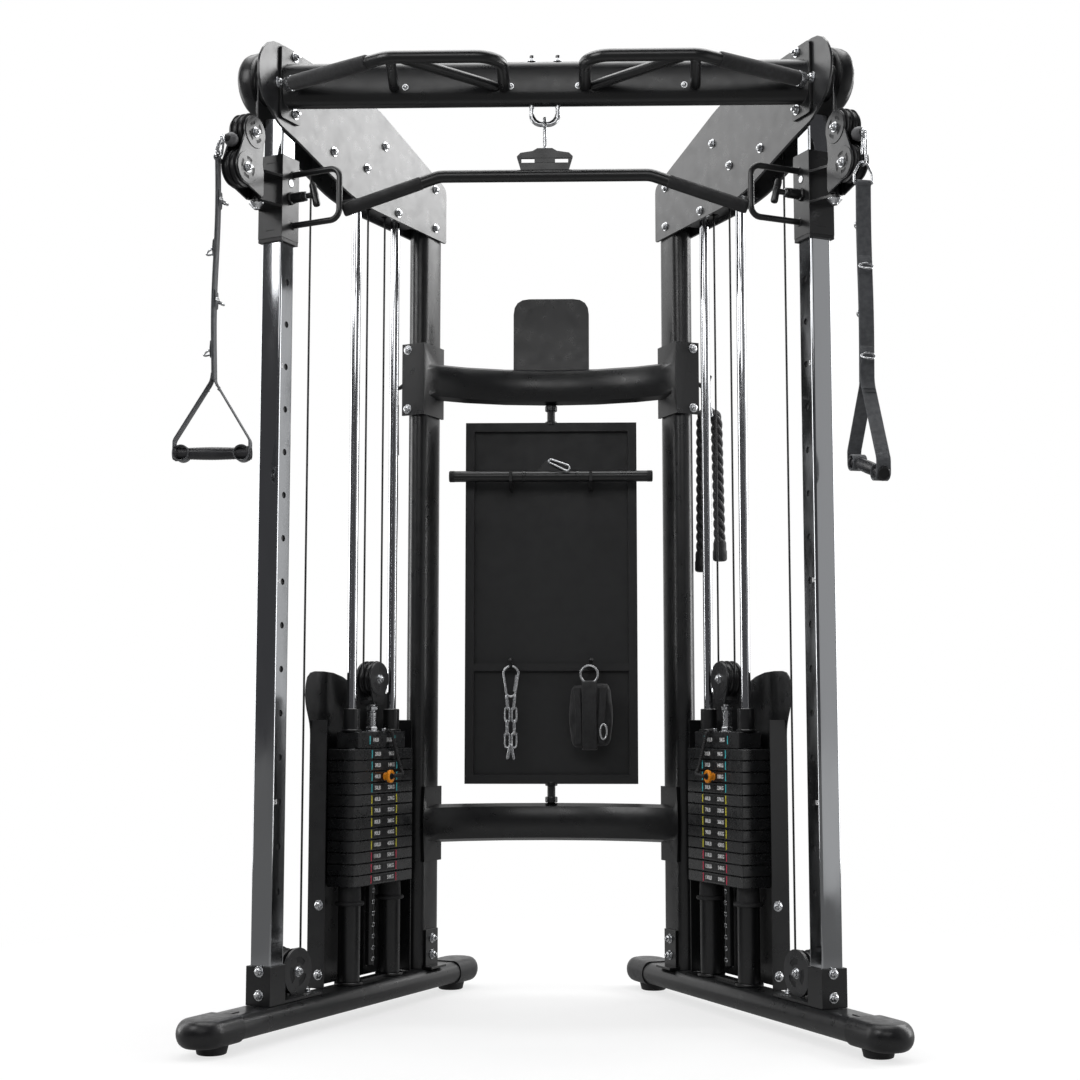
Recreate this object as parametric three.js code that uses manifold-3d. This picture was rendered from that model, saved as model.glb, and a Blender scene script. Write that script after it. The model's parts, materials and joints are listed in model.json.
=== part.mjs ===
// Functional trainer: a free-standing cable machine with two weight stacks, two sliding pulley
// carriages on chromed uprights, a pull-up beam and a swivelling storage board.
// Units are millimetres. +Z is up, -Y is the front, and the origin is the middle of the footprint.
// Each side frame is built once in its own frame and used twice, the right one mirrored:
// x points inwards from the front upright's centre line, y runs rearwards along the base rail.
import * as THREE from "three";
import { mergeVertices } from "three/addons/utils/BufferGeometryUtils.js";
import Module from "manifold-3d";

const wasm = await Module();
wasm.setup();

// ---------------------------------------------------------------- driving dimensions
const SPLAY = THREE.MathUtils.degToRad(25.3); // each side frame opens forwards by this angle
const SIDE_X = 576.5; // front upright's centre line, sideways from the middle
const FRAME_X = 16.0; // the two shifts centre the footprint, handles included, on the origin
const FRAME_Y = -265.8;
const GAP = 0.3; // running and seating gap between touching pieces

const TUBE_WIDE = 100; // flat-oval frame tube, long side
const TUBE_THIN = 50; // flat-oval frame tube, short side
const WALL = 3;
const FOOT_HEIGHT = 20;
const RAIL_TOP = FOOT_HEIGHT + TUBE_THIN;
const RAIL_FRONT = -262;
const RAIL_REAR = 850;
const CAP_LENGTH = 120;
const FRONT_FOOT_Y = -180;
const REAR_FOOT_Y = 768;

const UPRIGHT = 50; // front upright, square
const UPRIGHT_TOP = 1945;
const HOLE_PITCH = 92;
const HOLE_COUNT = 17;
const HOLE_RADIUS = 7;
const REAR_Y = 624; // rear upright's centre
const REAR_TOP = 1990;

const PLATE = 6; // sheet thickness of gussets and brackets
const GUSSET_IN = UPRIGHT / 2 + GAP; // nearer face of either gusset plate, from the centre line

const COVER_Z = 2034; // middle of the round cable cover on the outer gusset

const PIN_Z = 1772; // carriage pop pin at rest
const SLEEVE = 62;
const SLEEVE_LOW = 1673;
const SLEEVE_HIGH = 1863;
const SWIVEL_Y = -80; // pulley block's swivel axis, which the drop cable runs down
const FLANGE_LOW = 1745;
const FLANGE_HIGH = 1811;

const SHEAVE_RADIUS = 41;
const CABLE_RADIUS = 2.8;
const PITCH_RADIUS = 37; // cable centre line round a block, top or stack sheave
const AXLE_RADIUS = 6;
const BLOCK_UPPER = [SWIVEL_Y - PITCH_RADIUS, 1885];
const BLOCK_LOWER = [SWIVEL_Y - PITCH_RADIUS - 25, 1802];
const TOP_SHEAVE = [SWIVEL_Y + PITCH_RADIUS, 2010];
const BASE_SHEAVE = [104, 124];
const BASE_SHEAVE_X = -18;
const BASE_PITCH = 43;

const BALL_Y = -172; // ball stop between the block's two sheaves
const BALL_Z = 1856;
const HANG_Y = BALL_Y - 12; // the handle hangs from here
const HANDLE_PIVOT_Z = 1819;
const LEFT_HANDLE = { hangX: -24, turn: -65, drop: 0 };
const RIGHT_HANDLE = { hangX: -1, turn: 0, drop: 32 };

const STACK_Y = 395; // centre of the weight stack along the side frame
const ROD_SPREAD = 85; // guide rods, each side of the stack's centre
const ROD_RADIUS = 11;
const PLATE_PITCH = 25.4;
const PLATE_LENGTH = 250;
const PLATE_WIDTH = 72;
const LOWER_COUNT = 9;
const PICKED_COUNT = 3;
const STACK_LOW = 285;
const HEAD_HEIGHT = 38;
const HEAD_LENGTH = 200;
const HEAD_WIDTH = 60;
const STACK_SHEAVE_Z = 748;
const ROD_BLOCK_Z = 1826;

const BEAM_Y = -32; // front beam's centre line, from the front uprights
const BEAM_Z = 2014;
const BEAM_TALL = 98;
const GRIP_Z = 2001; // pull-up grips
const UPPER_CROSS_Z = 1480;
const LOWER_CROSS_Z = 408;
const CROSS_TALL = 90;
const CROSS_BOW_Y = 637; // middle of the bowed rear beams
const HOOK_Y = 606; // accessory hook on the rear upright's outer face
const HOOK_Z = 1490;

const BOARD_HALF = 212;
const BOARD_LOW = 499;
const BOARD_HIGH = 1390;
const BOARD_DEEP = 25;
const BAR_Y = 586; // straight bar resting on the board's two hooks
const BAR_Z = 1250;
const BAR_RADIUS = 14;
const PEG_X = 98;
const PEG_Z = 783;

const LAT_Z = 1812;
const LAT_HALF = 226;
const LAT_END = 430;
const LAT_DROP = 72;
const LOOP_Z = 1925;

// ---------------------------------------------------------------- finishes
const finish = (color, roughness, metalness) => () =>
  new THREE.MeshStandardMaterial({ color, roughness, metalness });
const BLACK_PAINT = finish(0x1b1c1e, 0.5, 0.2);
const GREY_PAINT = finish(0x44474b, 0.45, 0.3);
const CHROME = finish(0xc9ccd0, 0.08, 1.0);
const NYLON = finish(0x141416, 0.45, 0.0);
const RUBBER = finish(0x101011, 0.85, 0.0);
const IRON = finish(0x3b3d40, 0.6, 0.3);
const WEBBING = finish(0x2a2b2e, 0.9, 0.0);
const ORANGE = finish(0xf0821c, 0.4, 0.0);

// ---------------------------------------------------------------- solids
function solid(geometry) {
  const bare = geometry.index ? geometry.toNonIndexed() : geometry.clone();
  bare.deleteAttribute("normal");
  bare.deleteAttribute("uv");
  const merged = mergeVertices(bare, 1e-4);
  const vertProperties = new Float32Array(merged.attributes.position.array);
  const triVerts = keepRealTriangles(merged.index.array);
  if (signedVolume(vertProperties, triVerts) < 0) {
    for (let i = 0; i < triVerts.length; i += 3) {
      [triVerts[i], triVerts[i + 1]] = [triVerts[i + 1], triVerts[i]];
    }
  }
  return new wasm.Manifold(new wasm.Mesh({ numProp: 3, vertProperties, triVerts }));
}

function keepRealTriangles(index) {
  const kept = [];
  for (let i = 0; i < index.length; i += 3) {
    const [a, b, c] = [index[i], index[i + 1], index[i + 2]];
    if (a !== b && b !== c && c !== a) kept.push(a, b, c);
  }
  return new Uint32Array(kept);
}

function signedVolume(points, triangles) {
  let sum = 0;
  const corner = (k) => new THREE.Vector3().fromArray(points, 3 * triangles[k]);
  for (let i = 0; i < triangles.length; i += 3) {
    sum += corner(i).dot(corner(i + 1).cross(corner(i + 2)));
  }
  return sum / 6;
}

function geometryOf(manifold) {
  const mesh = manifold.getMesh();
  const stride = mesh.numProp;
  const count = mesh.vertProperties.length / stride;
  const position = new Float32Array(3 * count);
  for (let i = 0; i < count; i += 1) {
    for (let k = 0; k < 3; k += 1) position[3 * i + k] = mesh.vertProperties[stride * i + k];
  }
  const geometry = new THREE.BufferGeometry();
  geometry.setAttribute("position", new THREE.BufferAttribute(position, 3));
  geometry.setIndex(new THREE.BufferAttribute(new Uint32Array(mesh.triVerts), 1));
  geometry.computeVertexNormals();
  return geometry;
}

const union = (first, ...others) => others.reduce((sum, other) => sum.add(other), first);
const cut = (first, ...others) => others.reduce((rest, other) => rest.subtract(other), first);

function box(x0, x1, y0, y1, z0, z1) {
  const geometry = new THREE.BoxGeometry(x1 - x0, y1 - y0, z1 - z0);
  geometry.translate((x0 + x1) / 2, (y0 + y1) / 2, (z0 + z1) / 2);
  return solid(geometry);
}

// Cylinder along x, y or z from one coordinate to the other; at holds the two other coordinates.
function cylinder(axis, from, to, at, radius, sides = 16, endRadius = radius) {
  const geometry = new THREE.CylinderGeometry(endRadius, radius, to - from, sides);
  geometry.rotateY(Math.PI / sides);
  geometry.translate(0, (from + to) / 2, 0);
  if (axis === "x") geometry.rotateZ(-Math.PI / 2).translate(0, at[0], at[1]);
  if (axis === "y") geometry.translate(at[0], 0, at[1]);
  if (axis === "z") geometry.rotateX(Math.PI / 2).translate(at[0], at[1], 0);
  return solid(geometry);
}

function sphere(x, y, z, radius) {
  return solid(new THREE.SphereGeometry(radius, 10, 6).translate(x, y, z));
}

const UPWARDS = new THREE.Matrix4();
const INWARDS = new THREE.Matrix4().makeBasis(
  new THREE.Vector3(0, 1, 0),
  new THREE.Vector3(0, 0, 1),
  new THREE.Vector3(1, 0, 0),
);

// A flat outline given thickness: upright plates lie in y and z, level ones in x and y.
function extruded(shape, from, to, direction, curveSegments = 5) {
  const options = { depth: to - from, bevelEnabled: false, curveSegments };
  const geometry = new THREE.ExtrudeGeometry(shape, options);
  return solid(geometry.translate(0, 0, from).applyMatrix4(direction));
}
const uprightPlate = (shape, x0, x1, segments) => extruded(shape, x0, x1, INWARDS, segments);
const levelPlate = (shape, z0, z1, segments) => extruded(shape, z0, z1, UPWARDS, segments);

function polygon(points) {
  return new THREE.Shape(points.map(([x, y]) => new THREE.Vector2(x, y)));
}

// Polygon whose corners are rounded; a corner may carry its own radius as a third number.
function roundedPolygon(points, radius) {
  const shape = new THREE.Shape();
  const count = points.length;
  points.forEach(([x, y, own], i) => {
    const here = new THREE.Vector2(x, y);
    const before = new THREE.Vector2(...points[(i + count - 1) % count].slice(0, 2));
    const after = new THREE.Vector2(...points[(i + 1) % count].slice(0, 2));
    const bend = own ?? radius;
    const start = here.clone().add(before.clone().sub(here).setLength(bend));
    const end = here.clone().add(after.clone().sub(here).setLength(bend));
    if (i === 0) shape.moveTo(start.x, start.y);
    else shape.lineTo(start.x, start.y);
    if (bend > 0) shape.quadraticCurveTo(here.x, here.y, end.x, end.y);
  });
  shape.closePath();
  return shape;
}

function roundedRectangle(x0, x1, y0, y1, radius) {
  return roundedPolygon([[x0, y0], [x1, y0], [x1, y1], [x0, y1]], radius);
}

function racetrack(wide, tall, centre = [0, 0]) {
  const radius = Math.min(wide, tall) / 2;
  const [cx, cy] = centre;
  const shape = new THREE.Shape();
  if (wide >= tall) {
    const reach = wide / 2 - radius;
    shape.absarc(cx + reach, cy, radius, -Math.PI / 2, Math.PI / 2);
    shape.absarc(cx - reach, cy, radius, Math.PI / 2, 1.5 * Math.PI);
  } else {
    const reach = tall / 2 - radius;
    shape.absarc(cx, cy + reach, radius, 0, Math.PI);
    shape.absarc(cx, cy - reach, radius, Math.PI, 2 * Math.PI);
  }
  shape.closePath();
  return shape;
}

// Route along straight runs and bends whose steps are exactly the given points.
class Route extends THREE.Curve {
  constructor(points) {
    super();
    this.points = points;
  }
  getPoint(t) {
    const last = this.points.length - 1;
    const place = Math.min(Math.max(t, 0), 1) * last;
    const i = Math.min(Math.floor(place), last - 1);
    return this.points[i].clone().lerp(this.points[i + 1], place - i);
  }
  getUtoTmapping(u) {
    return u;
  }
}

// Corner points become bends of the given radius, each cut into the given number of steps.
function bent(corners, radius, steps = 4) {
  const points = corners.map((corner) => new THREE.Vector3(...corner));
  const route = [points[0]];
  for (let i = 1; i < points.length - 1; i += 1) {
    const back = points[i - 1].clone().sub(points[i]).normalize();
    const ahead = points[i + 1].clone().sub(points[i]).normalize();
    const half = back.angleTo(ahead) / 2;
    const reach = radius / Math.tan(half);
    const centreWay = back.clone().add(ahead).normalize();
    const centre = points[i].clone().addScaledVector(centreWay, radius / Math.sin(half));
    const first = points[i].clone().addScaledVector(back, reach).sub(centre);
    const last = points[i].clone().addScaledVector(ahead, reach).sub(centre);
    const turn = first.angleTo(last);
    for (let k = 0; k <= steps; k += 1) {
      const a = Math.sin((1 - k / steps) * turn) / Math.sin(turn);
      const b = Math.sin((k / steps) * turn) / Math.sin(turn);
      route.push(first.clone().multiplyScalar(a).addScaledVector(last, b).add(centre));
    }
  }
  route.push(points[points.length - 1]);
  return route;
}

function swept(points, shape) {
  const route = new Route(points);
  const options = { steps: points.length - 1, extrudePath: route, curveSegments: 2 };
  return solid(new THREE.ExtrudeGeometry(shape, options));
}

function roundBar(points, radius, sides = 10) {
  const ring = [];
  for (let i = 0; i < sides; i += 1) {
    const angle = (2 * Math.PI * i) / sides;
    ring.push([radius * Math.cos(angle), radius * Math.sin(angle)]);
  }
  return swept(points, polygon(ring));
}

function arcPoints(centre, radius, from, to, steps, x = 0) {
  const points = [];
  for (let i = 0; i <= steps; i += 1) {
    const angle = from + ((to - from) * i) / steps;
    const y = centre[0] + radius * Math.cos(angle);
    points.push(new THREE.Vector3(x, y, centre[1] + radius * Math.sin(angle)));
  }
  return points;
}

// Grooved wheel turning about x.
function sheave(centre, radius, halfWidth, x = 0) {
  const profile = [
    [AXLE_RADIUS + 0.6, -halfWidth],
    [radius, -halfWidth],
    [radius, -halfWidth + 2],
    [radius - 9, -2],
    [radius - 9, 2],
    [radius, halfWidth - 2],
    [radius, halfWidth],
    [AXLE_RADIUS + 0.6, halfWidth],
    [AXLE_RADIUS + 0.6, -halfWidth],
  ].map(([r, y]) => new THREE.Vector2(r, y));
  const geometry = new THREE.LatheGeometry(profile, 12);
  return solid(geometry.rotateZ(-Math.PI / 2).translate(x, centre[0], centre[1]));
}

function place(group, name, manifold, material) {
  const mesh = new THREE.Mesh(geometryOf(manifold), material());
  mesh.name = name;
  group.add(mesh);
}

// ---------------------------------------------------------------- base
function baseRail() {
  const reach = CAP_LENGTH - 20;
  const outline = racetrack(TUBE_WIDE, TUBE_THIN, [0, FOOT_HEIGHT + TUBE_THIN / 2]);
  const inner = racetrack(
    TUBE_WIDE - 2 * WALL,
    TUBE_THIN - 2 * WALL,
    [0, FOOT_HEIGHT + TUBE_THIN / 2],
  );
  outline.holes.push(inner);
  const along = new THREE.Matrix4().makeBasis(
    new THREE.Vector3(-1, 0, 0),
    new THREE.Vector3(0, 0, 1),
    new THREE.Vector3(0, 1, 0),
  );
  const tube = extruded(outline, RAIL_FRONT + reach, RAIL_REAR - reach, along, 3);
  const caps = [
    [RAIL_FRONT, RAIL_FRONT + CAP_LENGTH, FRONT_FOOT_Y],
    [RAIL_REAR - CAP_LENGTH, RAIL_REAR, REAR_FOOT_Y],
  ].map(([from, to, footY]) => {
    const half = TUBE_WIDE / 2 + 2;
    const front = from === RAIL_FRONT;
    const corners = [[-half, from], [half, from], [half, to], [-half, to]].map(
      ([x, y]) => [x, y, (y === from) === front ? 44 : 4],
    );
    const cap = levelPlate(roundedPolygon(corners, 4), FOOT_HEIGHT - 2, RAIL_TOP + 2, 2);
    return union(cap, cylinder("z", 0, FOOT_HEIGHT, [0, footY], 34, 12, 30));
  });
  const hollows = caps.map((_, i) => {
    const from = i === 0 ? RAIL_FRONT + 40 : RAIL_REAR - CAP_LENGTH - 20;
    return box(-30, 30, from, from + 100, FOOT_HEIGHT + 8, RAIL_TOP - 8);
  });
  const drain = cylinder("z", FOOT_HEIGHT - 1, FOOT_HEIGHT + TUBE_THIN / 2, [0, 300], 6, 8);
  return cut(union(tube, ...caps), ...hollows, drain);
}

function footBracket() {
  const floor = RAIL_TOP + GAP;
  const outer = UPRIGHT / 2 + GAP + 5;
  const base = union(
    box(-outer, outer, -outer, 160, floor, floor + PLATE),
    box(-44, 0, BASE_SHEAVE[0] - 24, BASE_SHEAVE[0] + 24, floor, floor + PLATE),
  );
  const shell = box(-outer, outer, -outer, UPRIGHT / 2, floor, 150);
  const inner = UPRIGHT / 2 + GAP;
  const hollow = box(-inner, inner, -inner, 80, floor + PLATE, 160);
  const fork = [-24, 19].map((offset) => {
    const x = BASE_SHEAVE_X + offset;
    const disc = cylinder("x", x, x + 5, BASE_SHEAVE, 50, 16);
    const leg = box(x, x + 5, BASE_SHEAVE[0] - 24, BASE_SHEAVE[0] + 24, floor, BASE_SHEAVE[1]);
    return union(disc, leg);
  });
  const axle = cylinder("x", BASE_SHEAVE_X - 27, BASE_SHEAVE_X + 27, BASE_SHEAVE, AXLE_RADIUS, 10);
  return union(cut(union(base, shell), hollow), ...fork, axle);
}

// ---------------------------------------------------------------- uprights and gussets
function frontUpright() {
  const floor = RAIL_TOP + GAP + PLATE + GAP;
  const half = UPRIGHT / 2;
  const tube = cut(
    box(-half, half, -half, half, floor, UPRIGHT_TOP),
    box(-half + WALL, half - WALL, -half + WALL, half - WALL, floor - 1, UPRIGHT_TOP + 1),
  );
  const holes = [];
  for (let i = 0; i < HOLE_COUNT; i += 1) {
    holes.push(cylinder("x", 15, 30, [0, PIN_Z - i * HOLE_PITCH], HOLE_RADIUS, 6));
  }
  return cut(tube, ...holes);
}

function rearUpright() {
  const outline = racetrack(TUBE_THIN, TUBE_WIDE, [0, REAR_Y]);
  outline.holes.push(racetrack(TUBE_THIN - 2 * WALL, TUBE_WIDE - 2 * WALL, [0, REAR_Y]));
  const tube = levelPlate(outline, RAIL_TOP + GAP, REAR_TOP, 3);
  const face = -TUBE_THIN / 2 + 1;
  const corners = [[face, HOOK_Y, HOOK_Z], [-70, HOOK_Y, HOOK_Z - 26], [-84, HOOK_Y, HOOK_Z + 8]];
  const pad = box(face - 4, face, HOOK_Y - 12, HOOK_Y + 12, HOOK_Z - 22, HOOK_Z + 22);
  return union(tube, pad, roundBar(bent(corners, 10, 2), 5, 6));
}

// The two gussets share their long sweep rearwards; each has its own nose.
const GUSSET_SWEEP = [
  [120, 2099, 60],
  [350, 2083, 30],
  [672, 1978, 16],
  [672, 1838, 6],
  [318, 1836, 40],
  [232, 1846, 30],
  [22, 1908, 20],
];
const INNER_NOSE = [[-84, 2102, 34], [-128, 2046, 36], [-112, 1972, 30], [-44, 1924, 12]];
const OUTER_NOSE = [[-40, 2085, 20], [-46, 2040, 10], [-46, 1950, 10], [-30, 1925, 16]];

function gussetOutline([crown, brow, chin, throat]) {
  return roundedPolygon([brow, crown, ...GUSSET_SWEEP, throat, chin], 10);
}

const innerGusset = () => uprightPlate(gussetOutline(INNER_NOSE), GUSSET_IN, GUSSET_IN + PLATE, 3);

// Outer gusset, with the round cable cover on its outside and, inside, the top sheave's axle
// and the cross plate that holds the guide rods' tops.
function outerGusset() {
  const sheet = uprightPlate(gussetOutline(OUTER_NOSE), -GUSSET_IN - PLATE, -GUSSET_IN, 3);
  const inside = GUSSET_IN - 1;
  const holderTop = ROD_BLOCK_Z + 34;
  const holder = box(-inside - 2, inside, STACK_Y - 125, STACK_Y + 150, holderTop - 12, holderTop);
  const holes = [-1, 1].flatMap((side) => {
    const cableY = STACK_Y + side * PITCH_RADIUS;
    return [
      cylinder("z", holderTop - 20, holderTop + 6, [0, rodY(side)], ROD_RADIUS + 1, 10),
      box(-8, 8, cableY - 8, cableY + 8, holderTop - 20, holderTop + 10),
    ];
  });
  const axle = cylinder("x", -inside - 2, inside, TOP_SHEAVE, AXLE_RADIUS, 10);
  const breather = cylinder("x", -GUSSET_IN - PLATE - 1, -inside, [0, COVER_Z], 12, 10);
  return cut(union(sheet, holder, axle, pulleyCover()), ...holes, breather);
}

function pulleyCover() {
  const near = -GUSSET_IN - PLATE + 0.5;
  const profile = [
    [68, 0],
    [68, 26],
    [60, 38],
    [0, 40],
    [0, 37],
    [58, 35],
    [65, 24],
    [65, 0],
    [68, 0],
  ].map(([r, depth]) => new THREE.Vector2(r, depth));
  const shell = new THREE.LatheGeometry(profile, 14);
  return solid(shell.rotateZ(Math.PI / 2).translate(near, 0, COVER_Z));
}

// ---------------------------------------------------------------- weight stack
const rodY = (side) => STACK_Y + side * ROD_SPREAD;

function guideRod(side) {
  const floor = RAIL_TOP + GAP + PLATE + GAP;
  return cylinder("z", floor, ROD_BLOCK_Z + 34, [0, rodY(side)], ROD_RADIUS, 10);
}

function stackBase() {
  const floor = RAIL_TOP + GAP;
  const base = box(-34, 34, rodY(-1) - 34, rodY(1) + 34, floor, floor + PLATE);
  const risers = [-1, 1].map((side) =>
    cylinder("z", floor, STACK_LOW - GAP, [0, rodY(side)], 22, 12),
  );
  const bores = [-1, 1].map((side) =>
    cylinder("z", floor + PLATE, STACK_LOW + 5, [0, rodY(side)], ROD_RADIUS + 1, 10),
  );
  return cut(union(base, ...risers), ...bores);
}

function stackShroud() {
  const floor = RAIL_TOP + GAP;
  const back = -52;
  const panel = roundedPolygon(
    [
      [222, floor],
      [222, 640, 20],
      [198, 700, 25],
      [206, 762, 30],
      [330, 764, 60],
      [420, 722, 30],
      [556, 716, 10],
      [556, floor],
    ],
    0.5,
  );
  const sheet = uprightPlate(panel, back, back + 3, 3);
  const front = box(back, -8, 222, 225, floor, 654);
  const rear = box(back, 12, 553, 556, floor, 654);
  return union(sheet, front, rear);
}

function weightPlate(halfLength, halfWidth, low, height) {
  return box(-halfWidth, halfWidth, STACK_Y - halfLength, STACK_Y + halfLength, low, low + height);
}

function drillStack(manifold, low, high) {
  const holes = [-1, 1].map((side) => cylinder("z", low, high, [0, rodY(side)], ROD_RADIUS + 2, 8));
  return cut(manifold, ...holes, cylinder("z", low, high, [0, STACK_Y], 13.5, 8));
}

const LOWER_TOP = STACK_LOW + LOWER_COUNT * PLATE_PITCH;
const PICKED_TOP = LOWER_TOP + PICKED_COUNT * PLATE_PITCH;
const PICK_Z = LOWER_TOP + PLATE_PITCH / 2;

function plateGroup(low, count) {
  const plates = [];
  for (let i = 0; i < count; i += 1) {
    const base = low + i * PLATE_PITCH;
    const height = PLATE_PITCH - 1.2;
    plates.push(weightPlate(PLATE_LENGTH / 2, PLATE_WIDTH / 2, base, height));
  }
  const top = low + count * PLATE_PITCH - 1.2;
  const core = weightPlate(PLATE_LENGTH / 2 - 2, PLATE_WIDTH / 2 - 2, low, top - low);
  return drillStack(union(core, ...plates), low - 1, top + 1);
}

const lowerPlates = () => plateGroup(STACK_LOW, LOWER_COUNT);

// Head plate, the picked plates under it, and the drilled selector rod that carries them.
function liftedPlates() {
  const head = weightPlate(HEAD_LENGTH / 2, HEAD_WIDTH / 2, PICKED_TOP - 2, HEAD_HEIGHT + 2);
  const picked = plateGroup(LOWER_TOP, PICKED_COUNT);
  const collars = [-1, 1].map((side) =>
    cylinder("z", PICKED_TOP, PICKED_TOP + HEAD_HEIGHT + 52, [0, rodY(side)], 19, 10),
  );
  const body = union(picked, head, ...collars);
  const bored = cut(
    body,
    ...[-1, 1].map((side) =>
      cylinder("z", LOWER_TOP - 1, PICKED_TOP + 120, [0, rodY(side)], ROD_RADIUS + 2, 8),
    ),
  );
  const rod = cylinder("z", 100, PICKED_TOP + 4, [0, STACK_Y], 10, 8);
  const pinHole = cylinder("x", -12, PLATE_WIDTH, [STACK_Y, PICK_Z], 5, 8);
  return cut(union(bored, rod), pinHole);
}

function selectorPin() {
  const face = PLATE_WIDTH / 2;
  const at = [STACK_Y, PICK_Z];
  const shaft = cylinder("x", -8, face + 12, at, 4, 8);
  const knob = cylinder("x", face + 6, face + 14, at, 15, 14);
  return union(shaft, knob, cylinder("x", face + 1, face + 8, at, 8, 10));
}

function stackPulleyBlock() {
  const low = PICKED_TOP + HEAD_HEIGHT + GAP;
  const stud = cylinder("z", low, 702, [0, STACK_Y], 7, 10);
  const bridge = box(-19, 19, STACK_Y - 16, STACK_Y + 16, 692, 700);
  const cheeks = [-19, 15].map((x) =>
    union(
      cylinder("x", x, x + 4, [STACK_Y, STACK_SHEAVE_Z], 34, 12),
      box(x, x + 4, STACK_Y - 22, STACK_Y + 22, 692, STACK_SHEAVE_Z - 20),
    ),
  );
  const axle = cylinder("x", -23, 23, [STACK_Y, STACK_SHEAVE_Z], AXLE_RADIUS, 10);
  return union(stud, bridge, ...cheeks, axle);
}

// ---------------------------------------------------------------- carriage
function carriage() {
  const half = SLEEVE / 2;
  const bore = UPRIGHT / 2 + 0.5;
  const sleeve = box(-half, half, -half, half, SLEEVE_LOW, SLEEVE_HIGH);
  const root = -half + 2;
  const nose = SWIVEL_Y - 13;
  const tongue = [[-half, root], [half, root], [13, nose, 10], [-13, nose, 10]];
  const flange = (z) => levelPlate(roundedPolygon(tongue, 0.5), z, z + PLATE, 3);
  const lug = box(-26, -10, half - 2, 66, SLEEVE_LOW + 6, SLEEVE_LOW + 18);
  const corners = [[half - 2, 9, 1826], [150, 9, 1826], [150, 9, 1714], [half - 2, 9, 1714]];
  const handle = roundBar(bent(corners, 22, 3), 6.5, 8);
  const barrel = cylinder("x", half - 2, 64, [0, PIN_Z], 11, 12);
  const whole = union(sleeve, flange(FLANGE_LOW), flange(FLANGE_HIGH), lug, handle, barrel);
  return cut(
    whole,
    box(-bore, bore, -bore, bore, SLEEVE_LOW - 1, SLEEVE_HIGH + 1),
    cylinder("z", FLANGE_LOW - 5, FLANGE_HIGH + 10, [0, SWIVEL_Y], 8, 12),
    cylinder("x", 20, 70, [0, PIN_Z], 7.5, 10),
  );
}

// Spring pin that slides in the carriage's barrel, with its T grip. Its nose stops just short of
// the upright's wall, so that the carriage can travel with the pin at rest.
function popPin() {
  const shaft = cylinder("x", UPRIGHT / 2 + 1, 94, [0, PIN_Z], 6.5, 10);
  const collar = cylinder("x", 64 + GAP, 72, [0, PIN_Z], 9, 12);
  const grip = cylinder("z", -26, 26, [0, 0], 7.5, 10).rotate([0, -14, 0]);
  return union(shaft, collar, grip.translate([93, 0, PIN_Z]));
}

function pulleyBlock() {
  const cheek = (x) => {
    const lobes = [BLOCK_UPPER, BLOCK_LOWER].map((centre) => cylinder("x", x, x + 4, centre, 36, 10));
    const waist = uprightPlate(
      polygon([
        [BLOCK_UPPER[0] - 24, BLOCK_UPPER[1]],
        [BLOCK_UPPER[0] + 26, BLOCK_UPPER[1]],
        [BLOCK_LOWER[0] + 30, BLOCK_LOWER[1]],
        [BLOCK_LOWER[0] - 26, BLOCK_LOWER[1]],
      ]),
      x,
      x + 4,
    );
    const tail = uprightPlate(
      polygon([
        [BLOCK_LOWER[0] - 14, BLOCK_LOWER[1] - 32],
        [BLOCK_LOWER[0] + 36, BLOCK_LOWER[1] + 4],
        [SWIVEL_Y + 10, FLANGE_HIGH - GAP],
        [SWIVEL_Y + 10, FLANGE_LOW + PLATE + GAP],
        [SWIVEL_Y - 12, FLANGE_LOW + PLATE + GAP],
      ]),
      x,
      x + 4,
    );
    return union(...lobes, waist, tail);
  };
  const hub = union(
    cylinder("z", FLANGE_LOW + PLATE + GAP, FLANGE_HIGH - GAP, [0, SWIVEL_Y], 12, 14),
    box(-20, 20, SWIVEL_Y - 4, SWIVEL_Y + 4, FLANGE_LOW + PLATE + GAP, FLANGE_HIGH - GAP),
  );
  const pivot = cylinder("z", FLANGE_LOW - 8, FLANGE_HIGH + PLATE + 2, [0, SWIVEL_Y], 7, 10);
  const washer = cylinder("z", FLANGE_LOW - 12, FLANGE_LOW - GAP, [0, SWIVEL_Y], 8, 12, 15);
  const axles = [BLOCK_UPPER, BLOCK_LOWER].map((centre) =>
    cylinder("x", -24, 24, centre, AXLE_RADIUS, 10),
  );
  const sweep = cylinder("x", -15.5, 15.5, BLOCK_LOWER, SHEAVE_RADIUS + 2.5, 12);
  const core = cut(union(hub, pivot, washer), sweep);
  return union(core, cheek(-20), cheek(16), ...axles);
}

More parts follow.
